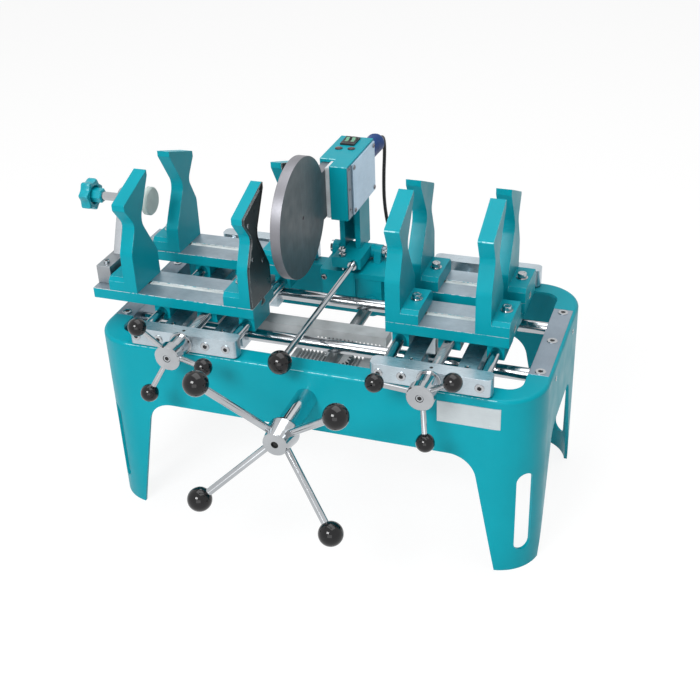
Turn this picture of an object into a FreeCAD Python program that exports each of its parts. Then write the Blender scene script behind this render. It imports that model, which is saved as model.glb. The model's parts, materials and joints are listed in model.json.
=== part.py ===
import FreeCAD, Part
import math
import os
from types import SimpleNamespace

import Sketcher
from FreeCAD import Placement, Rotation, Vector

# Driving dimensions in millimetres. Places are measured from the middle of the table, on the floor.
SIZES = {
    # Stand
    "table_length": 700, "table_width": 363, "table_height": 303, "table_corner": 67, "sheet_wall": 5,
    "front_rim": 33.5, "end_rim": 35, "opening_corner": 22, "skirt_height": 101,
    "leg_width_top": 95, "leg_width_foot": 57, "arch_corner": 42, "table_bend": 6,
    "end_leg_width_top": 112, "end_leg_width_foot": 52, "end_arch_height": 196, "end_arch_corner": 28,
    "leg_slot_width": 28, "leg_slot_low": 35, "leg_slot_high": 174,
    "end_plate_length": 200, "end_plate_height": 40,
    "fit": 0.05, "gap": 0.3,
    # Guide rods and drive
    "guide_radius": 10, "guide_spread": 70, "guide_height": 282.5,
    "shaft_x": 6, "shaft_height": 256, "shaft_radius": 10, "bush_radius": 19, "bush_length": 22,
    "bush_tube": 17, "bush_gap": 3, "rear_bearing_width": 40, "rear_bearing_front": -30,
    "gear_module": 2, "pinion_teeth": 22, "tooth_slack": 0.14, "addendum": 1.8, "dedendum": 2.5,
    "rack_front": -44, "rack_width": 28, "rack_body": 15.5, "rack_end": 10.885,
    "wheel_radius": 140, "wheel_cone": 36, "wheel_face": 121.5, "wheel_hub_radius": 18.5,
    "wheel_hub_length": 34,
    "wheel_hub_back": 24, "wheel_screw": 5.5, "spoke_radius": 5.5, "wheel_knob_radius": 18,
    "wheel_turn": 40.4,
    # Carriages
    "left_carriage": 188.5, "right_carriage": 192.5, "block_length": 176,
    "block_depth": 24, "block_low": 306, "block_high": 334,
    "block_corner": 8, "cross_radius": 8, "cross_spread": 71.4, "cross_height": 320, "cross_seat": 16,
    "bar_spread": 41, "bar_width": 28, "bar_low": 306, "bar_high": 316, "bearing_low": 263,
    "bearing_half": 20,
    "spindle_radius": 8, "handle_face": 48.5, "hub_radius": 20, "hub_length": 16, "handle_radius": 64,
    "sleeve_radius": 15.5, "collar_radius": 18, "hub_screw": 6,
    "handle_cone": 19, "arm_radius": 4, "handle_knob_radius": 13.4,
    "left_handle_turn": 2.6, "right_handle_turn": 40.1,
    # Jaws
    "jaw_depth": 80, "jaw_low": 335, "jaw_high": 352, "left_jaw_inner": 100, "right_jaw_inner": 101,
    "left_jaw_length": 272, "right_jaw_length": 184, "left_half_gap": 33, "right_half_gap": 13,
    "slot_throat": 9, "slot_throat_depth": 5, "slot_width": 15, "slot_depth": 10,
    "lug_width": 26, "lug_depth": 60, "nut_width": 34, "nut_depth": 40, "lug_low": 308,
    "pipe_height": 457, "left_inner_thickness": 17, "left_outer_thickness": 21,
    "right_thickness": 23, "left_horn": 70, "right_horn": 75.5, "foot_length": 27,
    "foot_height": 22, "foot_chamfer": 6,
    "left_outer_support": 294, "right_outer_support": 235, "liner_thickness": 4,
    "screw_radius": 4, "screw_head_radius": 6.5, "screw_head": 8,
    # Pipe stop
    "bracket_width": 24, "bracket_neck": 12, "bracket_front": 18, "bracket_block_depth": 66,
    "bracket_block": 30,
    "bracket_boss": 17, "stop_radius": 7, "pad_radius": 22.5, "pad_face": 312, "pad_thickness": 9,
    "pad_boss": 8, "knob_end": 432, "knob_length": 17, "knob_radius": 26, "knob_hub_length": 15,
    # Heater
    "base_left": -80, "base_right": 44, "base_front": -34, "base_rear": 36, "base_thickness": 10,
    "base_flange": 41, "flange_right": -18,
    "hinge_y": 28, "hinge_height": 327, "pin_radius": 6, "hub_outer": 12, "ear_thickness": 12,
    "left_ear": -62, "right_ear": 0,
    "arm_left": -56, "arm_right": -7, "arm_front": -36, "arm_low": 321, "arm_high": 339,
    "post_right": -20, "post_front": 6, "post_rear": 58, "post_wall": 9,
    "rest_x": -40, "rest_y": -28, "rest_radius": 3,
    "lever_x": -19, "lever_height": 330, "lever_radius": 4.5, "lever_knob_y": -209, "lever_knob_radius": 17.5,
    "housing_left": -76, "housing_right": -20, "housing_front": -49, "housing_rear": 86,
    "housing_drop": 45, "housing_rise": 46, "notch_x": -49.5, "notch_y": -19, "housing_corner": 3,
    "plate_radius": 94, "plate_left": -72, "plate_right": -56, "neck_height": 80, "neck_seat": 20,
    "cover_front": -28, "cover_rear": 82, "cover_margin": 3, "cover_thickness": 3,
    "grip_x": -45, "grip_radius": 16.5, "grip_length": 92, "grip_rise": 5,
    "bezel_x": -51.5, "bezel_y": 60.5, "bezel_width": 24, "bezel_length": 33, "bezel_height": 3,
    "rocker_width": 9, "rocker_length": 19, "rocker_spread": 5.2, "rocker_tilt": 10,
    "pivot_radius": 1.2,
    # Cord
    "cord_radius": 3.25, "gland_length": 20, "gland_seat": 14, "gland_radius": 7.85,
    "coil_x": 140, "coil_y": 262, "coil_radius": 50, "coil_pitch": 7.1,
    "coil_layer": 6.95, "plug_tail": 58, "plug_length": 44, "plug_width": 32,
    "plug_pin_length": 19, "plug_pin_radius": 2.4,
}

doc = FreeCAD.newDocument("pipe_fusion_machine")
sheet = doc.addObject("Spreadsheet::Sheet", "sizes")
for row, (alias, number) in enumerate(SIZES.items(), 1):
    sheet.set("A%d" % row, alias)
    sheet.set("B%d" % row, str(number))
    sheet.setAlias("B%d" % row, alias)
doc.recompute()


def ordered(a, b):
    return (a, b) if as_size(a).value < as_size(b).value else (b, a)


class Size:
    """A length with its value and the sheet expression that gives it."""

    def __init__(self, text, value):
        self.text = text
        self.value = value

    def __add__(self, other):
        other = as_size(other)
        return Size("(%s + %s)" % (self.text, other.text), self.value + other.value)

    def __sub__(self, other):
        return self + as_size(other) * -1

    def __mul__(self, other):
        other = as_size(other)
        return Size("%s * %s" % (self.text, other.text), self.value * other.value)

    def __truediv__(self, other):
        other = as_size(other)
        return Size("(%s / %s)" % (self.text, other.text), self.value / other.value)

    def __neg__(self):
        return self * -1

    def __radd__(self, other):
        return self + other

    def __rsub__(self, other):
        return -self + other

    def __rmul__(self, other):
        return self * other


def least(a, b):
    """The smaller of two lengths."""
    return Size("min(%s; %s)" % (a.text, b.text), min(a.value, b.value))


def as_size(number):
    return number if isinstance(number, Size) else Size("(%.9f)" % number, float(number))


s = SimpleNamespace(**{name: Size("sizes." + name, float(value)) for name, value in SIZES.items()})

# The wheel and the handles stand in front of the table, so their faces are measured from its front. The
# heater and the rear bearing of the shaft sit on the rear rim, and their places along y start at its edge.
for name in ("wheel_face", "handle_face"):
    setattr(s, name, s.table_width / 2 + getattr(s, name))
rim_edge = s.table_width / 2 - s.front_rim
for name in ("rear_bearing_front", "base_front", "base_rear", "hinge_y", "arm_front", "post_front",
             "post_rear", "rest_y", "housing_front", "housing_rear", "notch_y", "cover_front",
             "cover_rear", "bezel_y"):
    setattr(s, name, rim_edge + getattr(s, name))

# The frame's origin is under the middle of the whole machine, which the stop knob, the handwheel and the grip
# make lopsided about the table.
table_x = (s.knob_end - s.table_length / 2) / 2
table_y = (s.wheel_face + s.wheel_cone + s.wheel_knob_radius - s.housing_rear - s.grip_length) / 2

AXIS_TURN = {"x": Rotation(Vector(0, 1, 0), 90), "y": Rotation(Vector(1, 0, 0), -90), "z": Rotation()}
SPIN_TURN = {"x": Rotation(Vector(0, 0, 1), -90), "y": Rotation(), "z": Rotation(Vector(1, 0, 0), 90)}
PLANE_ROLE = {"xy": "XY_Plane", "xz": "XZ_Plane", "yz": "YZ_Plane"}
nodes = []


def bind(thing, prop, number):
    thing.setExpression(prop, as_size(number).text)


def place(thing, x, y, z, turn=Rotation()):
    thing.Placement = Placement(Vector(0, 0, 0), turn)
    bind(thing, "Placement.Base.x", table_x + x)
    bind(thing, "Placement.Base.y", table_y + y)
    bind(thing, "Placement.Base.z", z)


def box(name, x, y, z):
    solid = doc.addObject("Part::Box", name)
    for prop, (low, high) in zip(("Length", "Width", "Height"), (x, y, z)):
        bind(solid, prop, as_size(high) - low)
    place(solid, x[0], y[0], z[0])
    return solid


def rod(name, axis, radius, along, across):
    solid = doc.addObject("Part::Cylinder", name)
    bind(solid, "Radius", radius)
    bind(solid, "Height", as_size(along[1]) - along[0])
    at = list(across)
    at.insert("xyz".index(axis), along[0])
    place(solid, *at, AXIS_TURN[axis])
    return solid


def ball(name, radius, at):
    solid = doc.addObject("Part::Sphere", name)
    bind(solid, "Radius", radius)
    place(solid, *at)
    return solid


def spoke(name, radius, start, end):
    """A round bar between two points."""
    reach = [as_size(b) - a for a, b in zip(start, end)]
    way = Vector(*[step.value for step in reach])
    solid = doc.addObject("Part::Cylinder", name)
    bind(solid, "Radius", radius)
    squares = reach[0] * reach[0] + reach[1] * reach[1] + reach[2] * reach[2]
    solid.setExpression("Height", "sqrt(%s)" % squares.text)
    place(solid, *start, Rotation(Vector(0, 0, 1), way))
    return solid


def draw(body, name, plane, corners):
    """A closed outline of straight runs, each corner held from the origin by the sheet."""
    sketch = body.newObject("Sketcher::SketchObject", name)
    support = [f for f in body.Origin.OriginFeatures if f.Role == PLANE_ROLE[plane]][0]
    sketch.AttachmentSupport = [(support, "")]
    sketch.MapMode = "FlatFace"
    points = [(as_size(c[0]), as_size(c[1])) for c in corners]
    vectors = [Vector(a.value, b.value, 0) for a, b in points]
    count = len(points)
    for i in range(count):
        sketch.addGeometry(Part.LineSegment(vectors[i], vectors[(i + 1) % count]), False)
    for i in range(count):
        sketch.addConstraint(Sketcher.Constraint("Coincident", i, 2, (i + 1) % count, 1))
    for i, pair in enumerate(points):
        for kind, length in zip(("DistanceX", "DistanceY"), pair):
            index = sketch.addConstraint(Sketcher.Constraint(kind, -1, 1, i, 1, length.value))
            sketch.setExpression("Constraints[%d]" % index, length.text)
    return sketch


def prism(name, plane, corners, low, high, at=(0, 0, 0), turn=0, bend=None):
    """An outline in a plane, carried from low to high across it.

    A corner's third number rounds that edge, and bend rounds the outline's far rim.
    """
    body = doc.addObject("PartDesign::Body", name)
    pad = body.newObject("PartDesign::Pad", name + "_pad")
    pad.Profile = draw(body, name + "_outline", plane, corners)
    bind(pad, "Length", as_size(high) - low)
    doc.recompute()
    across = {"xy": 2, "xz": 1, "yz": 0}[plane]
    rounds = {}
    for corner in corners:
        if len(corner) > 2:
            rounds.setdefault(as_size(corner[2]).text, []).append(corner)
    feature = pad
    for i, rounded in enumerate(rounds.values()):
        names = []
        spots = [(as_size(c[0]).value, as_size(c[1]).value) for c in rounded]
        for number, edge in enumerate(feature.Shape.Edges, 1):
            ends = [list(v.Point) for v in edge.Vertexes]
            if len(ends) != 2:
                continue
            spread = [abs(a - b) for a, b in zip(*ends)]
            spread.pop(across)
            here = list(ends[0])
            here.pop(across)
            if max(spread) < 1e-6 and any(math.dist(here, spot) < 1e-5 for spot in spots):
                names.append("Edge%d" % number)
        fillet = body.newObject("PartDesign::Fillet", "%s_round%d" % (name, i))
        fillet.Base = (feature, names)
        bind(fillet, "Radius", rounded[0][2])
        doc.recompute()
        feature = fillet
    if bend:
        far = (as_size(high) - low).value
        names = ["Edge%d" % number for number, edge in enumerate(feature.Shape.Edges, 1)
                 if all(abs(list(v.Point)[across] - far) < 1e-6 for v in edge.Vertexes)]
        fillet = body.newObject("PartDesign::Fillet", name + "_bend")
        fillet.Base = (feature, names)
        bind(fillet, "Radius", bend)
        doc.recompute()
    start = {"xy": (0, 0, low), "xz": (0, high, 0), "yz": (low, 0, 0)}[plane]
    if turn:
        swing = math.radians(turn)
        start = (as_size(start[0]) * math.cos(swing), as_size(start[0]) * math.sin(swing), start[2])
    place(body, *[as_size(a) + b for a, b in zip(at, start)], Rotation(Vector(0, 0, 1), turn))
    return body


def turned(name, axis, profile, at):
    """A lathe-turned piece: profile points are radius and distance along the axis."""
    body = doc.addObject("PartDesign::Body", name)
    sketch = draw(body, name + "_profile", "xy", profile)
    spin = body.newObject("PartDesign::Revolution", name + "_turned")
    spin.Profile = sketch
    spin.ReferenceAxis = (sketch, ["V_Axis"])
    spin.Angle = 360
    place(body, *at, SPIN_TURN[axis])
    return body


def fuse(name, *solids):
    joined = doc.addObject("Part::MultiFuse", name)
    joined.Shapes = list(solids)
    joined.Refine = True
    return joined


def cut(name, base, *tools):
    result = doc.addObject("Part::Cut", name)
    result.Base = base
    result.Tool = tools[0] if len(tools) == 1 else fuse(name + "_tools", *tools)
    return result


def group(name, *solids):
    together = doc.addObject("Part::Compound", name)
    together.Links = list(solids)
    return together


def node(label, thing):
    thing.Label = label
    nodes.append(thing)
    return thing


def part_feature(name, shape):
    thing = doc.addObject("Part::Feature", name)
    thing.Shape = shape
    return thing


half_length = s.table_length / 2
half_width = s.table_width / 2
inside_x = half_length - s.sheet_wall
inside_y = half_width - s.sheet_wall
skirt_low = s.table_height - s.skirt_height
shaft_at = (s.shaft_x, s.shaft_height)
guides = ((-s.guide_spread, s.guide_height), (s.guide_spread, s.guide_height))
spigot_radius = s.shaft_radius + 4


def carriage_middle(sign):
    return s.right_carriage if sign > 0 else -s.left_carriage


def rectangle(x, y, radius):
    return [(-x, -y, radius), (x, -y, radius), (x, y, radius), (-x, y, radius)]


# Stand
def make_table():
    recess = s.end_plate_length / 2 + s.gap
    round_corner = least(s.table_corner, half_width - recess)
    shell = prism("stand_outside", "xy", rectangle(half_length, half_width, round_corner),
                  0, s.table_height, bend=s.table_bend)
    hollow = prism("stand_inside", "xy", rectangle(inside_x, inside_y, round_corner - s.sheet_wall),
                   -1, s.table_height - s.sheet_wall)
    x = half_length - s.end_rim
    y = rim_edge
    corner = least(s.opening_corner, (y - recess) * 0.9)
    opening = prism("stand_opening", "xy", [
        (-x, -y, corner), (x, -y, corner), (x, -recess), (inside_x, -recess),
        (inside_x, recess), (x, recess), (x, y, corner), (-x, y, corner),
        (-x, recess), (-inside_x, recess), (-inside_x, -recess), (-x, -recess),
    ], s.table_height - s.sheet_wall - 1, s.table_height + 1)
    top = half_length - s.leg_width_top
    foot = half_length - s.leg_width_foot
    front_arch = prism("front_arch", "xz", [
        (-foot, -1), (-top, skirt_low, s.arch_corner), (top, skirt_low, s.arch_corner), (foot, -1),
    ], -half_width - 1, half_width + 1)
    end_top = half_width - s.end_leg_width_top
    end_foot = half_width - s.end_leg_width_foot
    end_arch = prism("end_arch", "yz", [
        (-end_foot, -1), (-end_top, s.end_arch_height, s.end_arch_corner),
        (end_top, s.end_arch_height, s.end_arch_corner), (end_foot, -1),
    ], -half_length - 1, half_length + 1)
    slots = []
    slot_half = s.leg_slot_width / 2
    slot_round = slot_half - s.gap
    for i, (sx, sy) in enumerate(((1, -1), (1, 1), (-1, 1), (-1, -1))):
        outline = [(-slot_half, s.leg_slot_low, slot_round), (slot_half, s.leg_slot_low, slot_round),
                   (slot_half, s.leg_slot_high, slot_round), (-slot_half, s.leg_slot_high, slot_round)]
        centre = ((half_length - round_corner) * sx, (half_width - round_corner) * sy, 0)
        slots.append(prism("leg_slot_%d" % i, "yz", outline, round_corner - 2 * s.sheet_wall,
                           round_corner + s.sheet_wall, centre, math.degrees(math.atan2(sy, sx))))
    hole = rod("shaft_hole", "y", spigot_radius + s.fit, (-half_width - 1, -inside_y + 1), shaft_at)
    node("table_frame", cut("table", shell, hollow, opening, front_arch, end_arch, *slots, hole))


def make_guides():
    top = s.table_height
    plates = []
    for side, sign in (("left", -1), ("right", 1)):
        ends = ordered(inside_x * sign, (half_length - s.end_rim) * sign)
        plate = box("%s_end_bar" % side, ends, (-s.end_plate_length / 2, s.end_plate_length / 2),
                    (top - s.end_plate_height, top))
        bores = [rod("%s_end_bore_%d" % (side, i), "x", s.guide_radius + s.fit,
                     (ends[0] - 1, ends[1] + 1), at) for i, at in enumerate(guides)]
        plates.append(cut("%s_end" % side, plate, *bores))
    node("end_plates", group("end_plate_pair", *plates))
    rails = [rod("%s_rail" % name, "x", s.guide_radius, (-inside_x + s.gap, inside_x - s.gap), at)
             for name, at in zip(("front", "rear"), guides)]
    node("guide_rods", group("guide_rod_pair", *rails))


def make_bearings():
    bore = s.shaft_radius + s.fit
    tube_end = -s.wheel_face + s.wheel_hub_length + s.bush_gap
    front = turned("front_bush", "y", [
        (bore, tube_end), (s.bush_tube, tube_end), (s.bush_tube, -half_width), (spigot_radius, -half_width),
        (spigot_radius, -inside_y), (s.bush_radius, -inside_y),
        (s.bush_radius, -inside_y + s.bush_length), (bore, -inside_y + s.bush_length),
    ], (s.shaft_x, 0, s.shaft_height))
    node("front_shaft_bearing", front)
    half = s.rear_bearing_width / 2
    low = s.shaft_height - half - 3
    round_end = half - 1
    block = prism("rear_bearing_block", "xz", [
        (-half, low, round_end), (half, low, round_end), (half, s.table_height), (-half, s.table_height),
    ], s.rear_bearing_front, rim_edge, (s.shaft_x, 0, 0))
    boss = rod("rear_bearing_boss", "y", s.shaft_radius + 5,
               (s.rear_bearing_front - 4, s.rear_bearing_front), shaft_at)
    hole = rod("rear_bearing_bore", "y", bore, (s.rear_bearing_front - 6, half_width), shaft_at)
    node("rear_shaft_bearing", cut("rear_bearing", fuse("rear_bearing_body", block, boss), hole))


# Drive
pitch = s.gear_module * math.pi
pinion_pitch_radius = s.gear_module * s.pinion_teeth / 2
rack_rear = s.rack_front + s.rack_width
SLOPE = math.tan(math.radians(20))


def rack_outline(low_x, high_x, first, count, tip_height, root_height, back_height):
    """A bar with count tooth spaces whose middles lie one pitch apart from first."""
    tip_half = pitch / 4 + s.addendum * SLOPE + s.tooth_slack
    root_half = pitch / 4 - s.dedendum * SLOPE + s.tooth_slack
    corners = [(low_x, back_height), (low_x, tip_height)]
    for k in range(count):
        middle = first + pitch * k
        corners += [(middle - tip_half, tip_height), (middle - root_half, root_height),
                    (middle + root_half, root_height), (middle + tip_half, tip_height)]
    return corners + [(high_x, tip_height), (high_x, back_height)]


RACK_SPACES = 17
RACK_LEAD = 5
rack_reach = pitch * (RACK_SPACES - 1 - RACK_LEAD) + s.rack_end


def rack_risers(name, sign, low):
    """Two blocks that join a rack to its carriage's slide bars."""
    risers = []
    for i, k in enumerate((-1, 1)):
        middle = carriage_middle(sign) + s.bar_spread * k
        risers.append(box("%s_riser_%d" % (name, i), (middle - s.bar_width / 2, middle + s.bar_width / 2),
                          (s.rack_front, rack_rear), (low, s.bar_low)))
    return risers


def make_racks():
    upper_pitch = s.shaft_height + pinion_pitch_radius
    upper_tip = upper_pitch - s.addendum
    upper_back = upper_pitch + s.rack_body
    upper_left = carriage_middle(-1) - s.bar_spread - s.bar_width / 2
    upper = prism("upper_rack", "xz", rack_outline(
        upper_left, s.shaft_x + rack_reach, s.shaft_x - pitch * RACK_LEAD, RACK_SPACES,
        upper_tip, upper_pitch + s.dedendum, upper_back), s.rack_front, rack_rear)
    node("left_rack", fuse("upper_rack_body", upper, *rack_risers("upper", -1, upper_back)))
    lower_pitch = s.shaft_height - pinion_pitch_radius
    lower_tip = lower_pitch + s.addendum
    lower_right = carriage_middle(1) + s.bar_spread + s.bar_width / 2
    lower_back = lower_pitch - s.rack_body
    lower = prism("lower_rack", "xz", rack_outline(
        s.shaft_x - rack_reach, lower_right, s.shaft_x - pitch * (RACK_SPACES - 1 - RACK_LEAD), RACK_SPACES,
        lower_tip, lower_pitch - s.dedendum, lower_back), s.rack_front, rack_rear)
    node("right_rack", fuse("lower_rack_body", lower, *rack_risers("lower", 1, lower_back)))


def involute(angle):
    return math.tan(angle) - angle


def make_pinion_shaft():
    body = doc.addObject("PartDesign::Body", "pinion_blank")
    tip = pinion_pitch_radius + s.addendum
    root = pinion_pitch_radius - s.dedendum
    front = s.rack_front - 1
    width = s.rack_width + 2
    sides = body.newObject("Sketcher::SketchObject", "pinion_circle")
    support = [f for f in body.Origin.OriginFeatures if f.Role == "XZ_Plane"][0]
    sides.AttachmentSupport = [(support, "")]
    sides.MapMode = "FlatFace"
    sides.addGeometry(Part.Circle(Vector(0, 0, 0), Vector(0, 0, 1), tip.value), False)
    sides.addConstraint(Sketcher.Constraint("Coincident", 0, 3, -1, 1))
    index = sides.addConstraint(Sketcher.Constraint("Radius", 0, tip.value))
    sides.setExpression("Constraints[%d]" % index, tip.text)
    pad = body.newObject("PartDesign::Pad", "pinion_pad")
    pad.Profile = sides
    bind(pad, "Length", width)
    doc.recompute()
    teeth = s.pinion_teeth.value
    pressure = math.radians(20)
    base = pinion_pitch_radius.value * math.cos(pressure)
    middle_angle = math.pi / 2 + math.pi / teeth

    def flank(radius):
        """Half the angle of the space between two teeth at a radius."""
        lean = math.acos(min(1.0, base / radius))
        tooth = math.pi / (2 * teeth) + involute(pressure) - involute(lean) - s.tooth_slack.value / radius
        return math.pi / teeth - tooth

    stations = (root.value, base, pinion_pitch_radius.value, tip.value, tip.value + 1)
    opening = [flank(max(radius, base)) for radius in stations[:-1]] + [flank(tip.value)]
    outline = []
    for sign in (-1, 1):
        run = [(radius * math.cos(middle_angle + sign * half), radius * math.sin(middle_angle + sign * half))
               for radius, half in zip(stations, opening)]
        outline += run if sign < 0 else run[::-1]
    space = draw(body, "pinion_space", "xz", outline)
    pocket = body.newObject("PartDesign::Pocket", "pinion_gap")
    pocket.Profile = space
    pocket.Type = "ThroughAll"
    pocket.Midplane = True
    doc.recompute()
    pattern = body.newObject("PartDesign::PolarPattern", "pinion_teeth_ring")
    pattern.Originals = [pocket]
    pattern.Axis = (sides, ["N_Axis"])
    pattern.Angle = 360
    bind(pattern, "Occurrences", s.pinion_teeth)
    body.Tip = pattern
    place(body, s.shaft_x, front + width, s.shaft_height)
    hub_back = s.wheel_face - s.wheel_hub_length
    shaft = rod("drive_shaft", "y", s.shaft_radius, (-hub_back, rim_edge), shaft_at)
    node("pinion_shaft", fuse("pinion_and_shaft", body, shaft))


def crank(prefix, count, turn, centre, face, hub, reach, cone, arm_radius, knob_radius):
    """A hub with slanting arms that end in balls. Returns the hub, the arms and the balls.

    The hub is given by its radius in front and at the back, its length and the radius of its screw hole.
    """
    hub_radius, back_radius, hub_length, screw = hub
    x, z = centre
    blank = turned(prefix + "_hub_blank", "y", [
        (0, -face + 4), (screw, -face + 4), (screw, -face), (hub_radius - 1.5, -face),
        (hub_radius, -face + 1.5),
        (back_radius, -face + hub_length - 2), (back_radius, -face + hub_length), (0, -face + hub_length),
    ], (x, 0, z))
    arms, sockets, knobs = [], [], []
    root = hub_radius - 7
    root_y = -face + hub_length / 2
    knob_y = -face - cone
    for i in range(count):
        angle = math.radians(turn.value + 360 / count * i)
        cos, sin = math.cos(angle), math.sin(angle)
        start = (x + root * cos, root_y, z + root * sin)
        end = (x + reach * cos, knob_y, z + reach * sin)
        arms.append(spoke("%s_arm_%d" % (prefix, i), arm_radius, start, end))
        sockets.append(spoke("%s_socket_%d" % (prefix, i), arm_radius + s.fit, start, end))
        whole = ball("%s_ball_%d" % (prefix, i), knob_radius, end)
        knobs.append(cut("%s_knob_%d" % (prefix, i), whole, sockets[-1]))
    return cut(prefix + "_hub_drilled", blank, *sockets), arms, knobs


def make_handwheel():
    sizes = (s.wheel_hub_radius, s.wheel_hub_back, s.wheel_hub_length, s.wheel_screw)
    hub, arms, knobs = crank("wheel", 4, s.wheel_turn, shaft_at, s.wheel_face, sizes,
                             s.wheel_radius, s.wheel_cone, s.spoke_radius, s.wheel_knob_radius)
    node("handwheel_spider", group("wheel_spider", hub, *arms))
    node("handwheel_knobs", group("wheel_knobs", *knobs))


# Carriages
def make_carriage(side, sign):
    x = carriage_middle(sign)
    half = s.block_length / 2
    spindle_bore = s.spindle_radius + s.fit
    rod_bore = s.cross_radius + s.fit
    inner = half_width - s.block_depth + s.gap
    outer = inner + s.block_depth
    reach = inner + s.cross_seat
    rods = [(x + s.cross_spread * k, s.cross_height) for k in (-1, 1)]
    spindle_at = (x, s.cross_height)
    for end, y_range, bore_range in (("front", (-outer, -inner), (-outer - 1, -inner + 1)),
                                     ("rear", (inner, outer), (inner - 1, reach))):
        name = "%s_%s" % (side, end)
        corner = s.block_corner
        block = prism(name + "_blank", "xy", [
            (x - half, y_range[0], corner), (x + half, y_range[0], corner),
            (x + half, y_range[1], corner), (x - half, y_range[1], corner),
        ], s.block_low, s.block_high)
        seats = (-reach, -inner + 1) if end == "front" else (inner - 1, reach)
        holes = [rod("%s_seat_%d" % (name, i), "y", rod_bore, seats, at) for i, at in enumerate(rods)]
        holes.append(rod(name + "_spindle_bore", "y", spindle_bore, bore_range, spindle_at))
        node("%s_%s_block" % (side, end), cut(name + "_drilled", block, *holes))
    cross = [rod("%s_cross_%d" % (side, i), "y", s.cross_radius, (-reach, reach), at)
             for i, at in enumerate(rods)]
    node("%s_cross_rods" % side, group("%s_cross_pair" % side, *cross))
    bars = []
    for i, k in enumerate((-1, 1)):
        middle = x + s.bar_spread * k
        wide = (middle - s.bar_width / 2, middle + s.bar_width / 2)
        name = "%s_bar_%d" % (side, i)
        pieces = [box(name + "_flat", wide, (-inner, inner), (s.bar_low, s.bar_high))]
        bores = []
        for j, at in enumerate(guides):
            span = (at[0] - s.bearing_half, at[0] + s.bearing_half)
            pieces.append(prism("%s_bearing_%d" % (name, j), "yz", [
                (span[0], s.bearing_low, s.block_corner), (span[1], s.bearing_low, s.block_corner),
                (span[1], s.bar_low), (span[0], s.bar_low)], *wide))
            bores.append(rod("%s_bore_%d" % (name, j), "x", s.guide_radius + s.fit,
                             (wide[0] - 1, wide[1] + 1), at))
        bars.append(cut(name + "_bored", fuse(name + "_body", *pieces), *bores))
    node("%s_slide_bars" % side, group("%s_bar_pair" % side, *bars))
    radius = s.spindle_radius
    front = s.handle_face - s.hub_length
    sleeve = s.sleeve_radius
    collar = s.collar_radius
    ring = radius + 4
    spindle = turned("%s_spindle_turned" % side, "y", [
        (0, -front), (sleeve, -front), (sleeve, -outer - 4), (collar, -outer - 4), (collar, -outer - s.gap),
        (radius, -outer - s.gap), (radius, -inner + s.gap), (ring, -inner + s.gap), (ring, -inner + 4),
        (radius, -inner + 4), (radius, reach - s.gap), (0, reach - s.gap),
    ], (x, 0, s.cross_height))
    node("%s_spindle" % side, spindle)
    turn = s.left_handle_turn if side == "left" else s.right_handle_turn
    sizes = (s.hub_radius, s.hub_radius, s.hub_length, s.hub_screw)
    hub, arms, knobs = crank("%s_handle" % side, 3, turn, spindle_at, s.handle_face, sizes, s.handle_radius,
                             s.handle_cone - s.hub_length / 2, s.arm_radius, s.handle_knob_radius)
    node("%s_handle" % side, group("%s_handle_set" % side, hub, *arms))
    node("%s_handle_knobs" % side, group("%s_handle_balls" % side, *knobs))


# Jaws
def support_outline(across, low, side):
    """The V support's side view: across() turns a distance from the jaw's outer edge into a place."""
    axis = s.pipe_height
    outline = [(across(0), low), (across(0), axis - 40, 24)]
    if side == "left":
        outline += [(across(21), axis + 2, 16), (across(-3), axis + 33, 3), (across(-3), axis + 42.5, 2.5)]
        horn = s.left_horn
    else:
        outline += [(across(18), axis + 4, 16), (across(1), axis + 39, 4)]
        horn = s.right_horn
    return outline + [(across(75), axis + horn, 1.5), (across(39.5), axis, 26), (across(77), axis - 64, 10),
                      (across(78), low)]


def facing_outline(across, low):
    """The left supports' facing plate, which leaves a band of the liner bare along the V."""
    axis = s.pipe_height
    return [(across(0), low), (across(0), axis - 40, 24), (across(21), axis + 2, 16),
            (across(-3), axis + 33, 3), (across(-3), axis + 42.5, 2.5), (across(62.8), axis + 65.2, 2),
            (across(29.3), axis - 0.3, 35), (across(69.2), axis - 68.5, 10), (across(69.5), low)]


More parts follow.
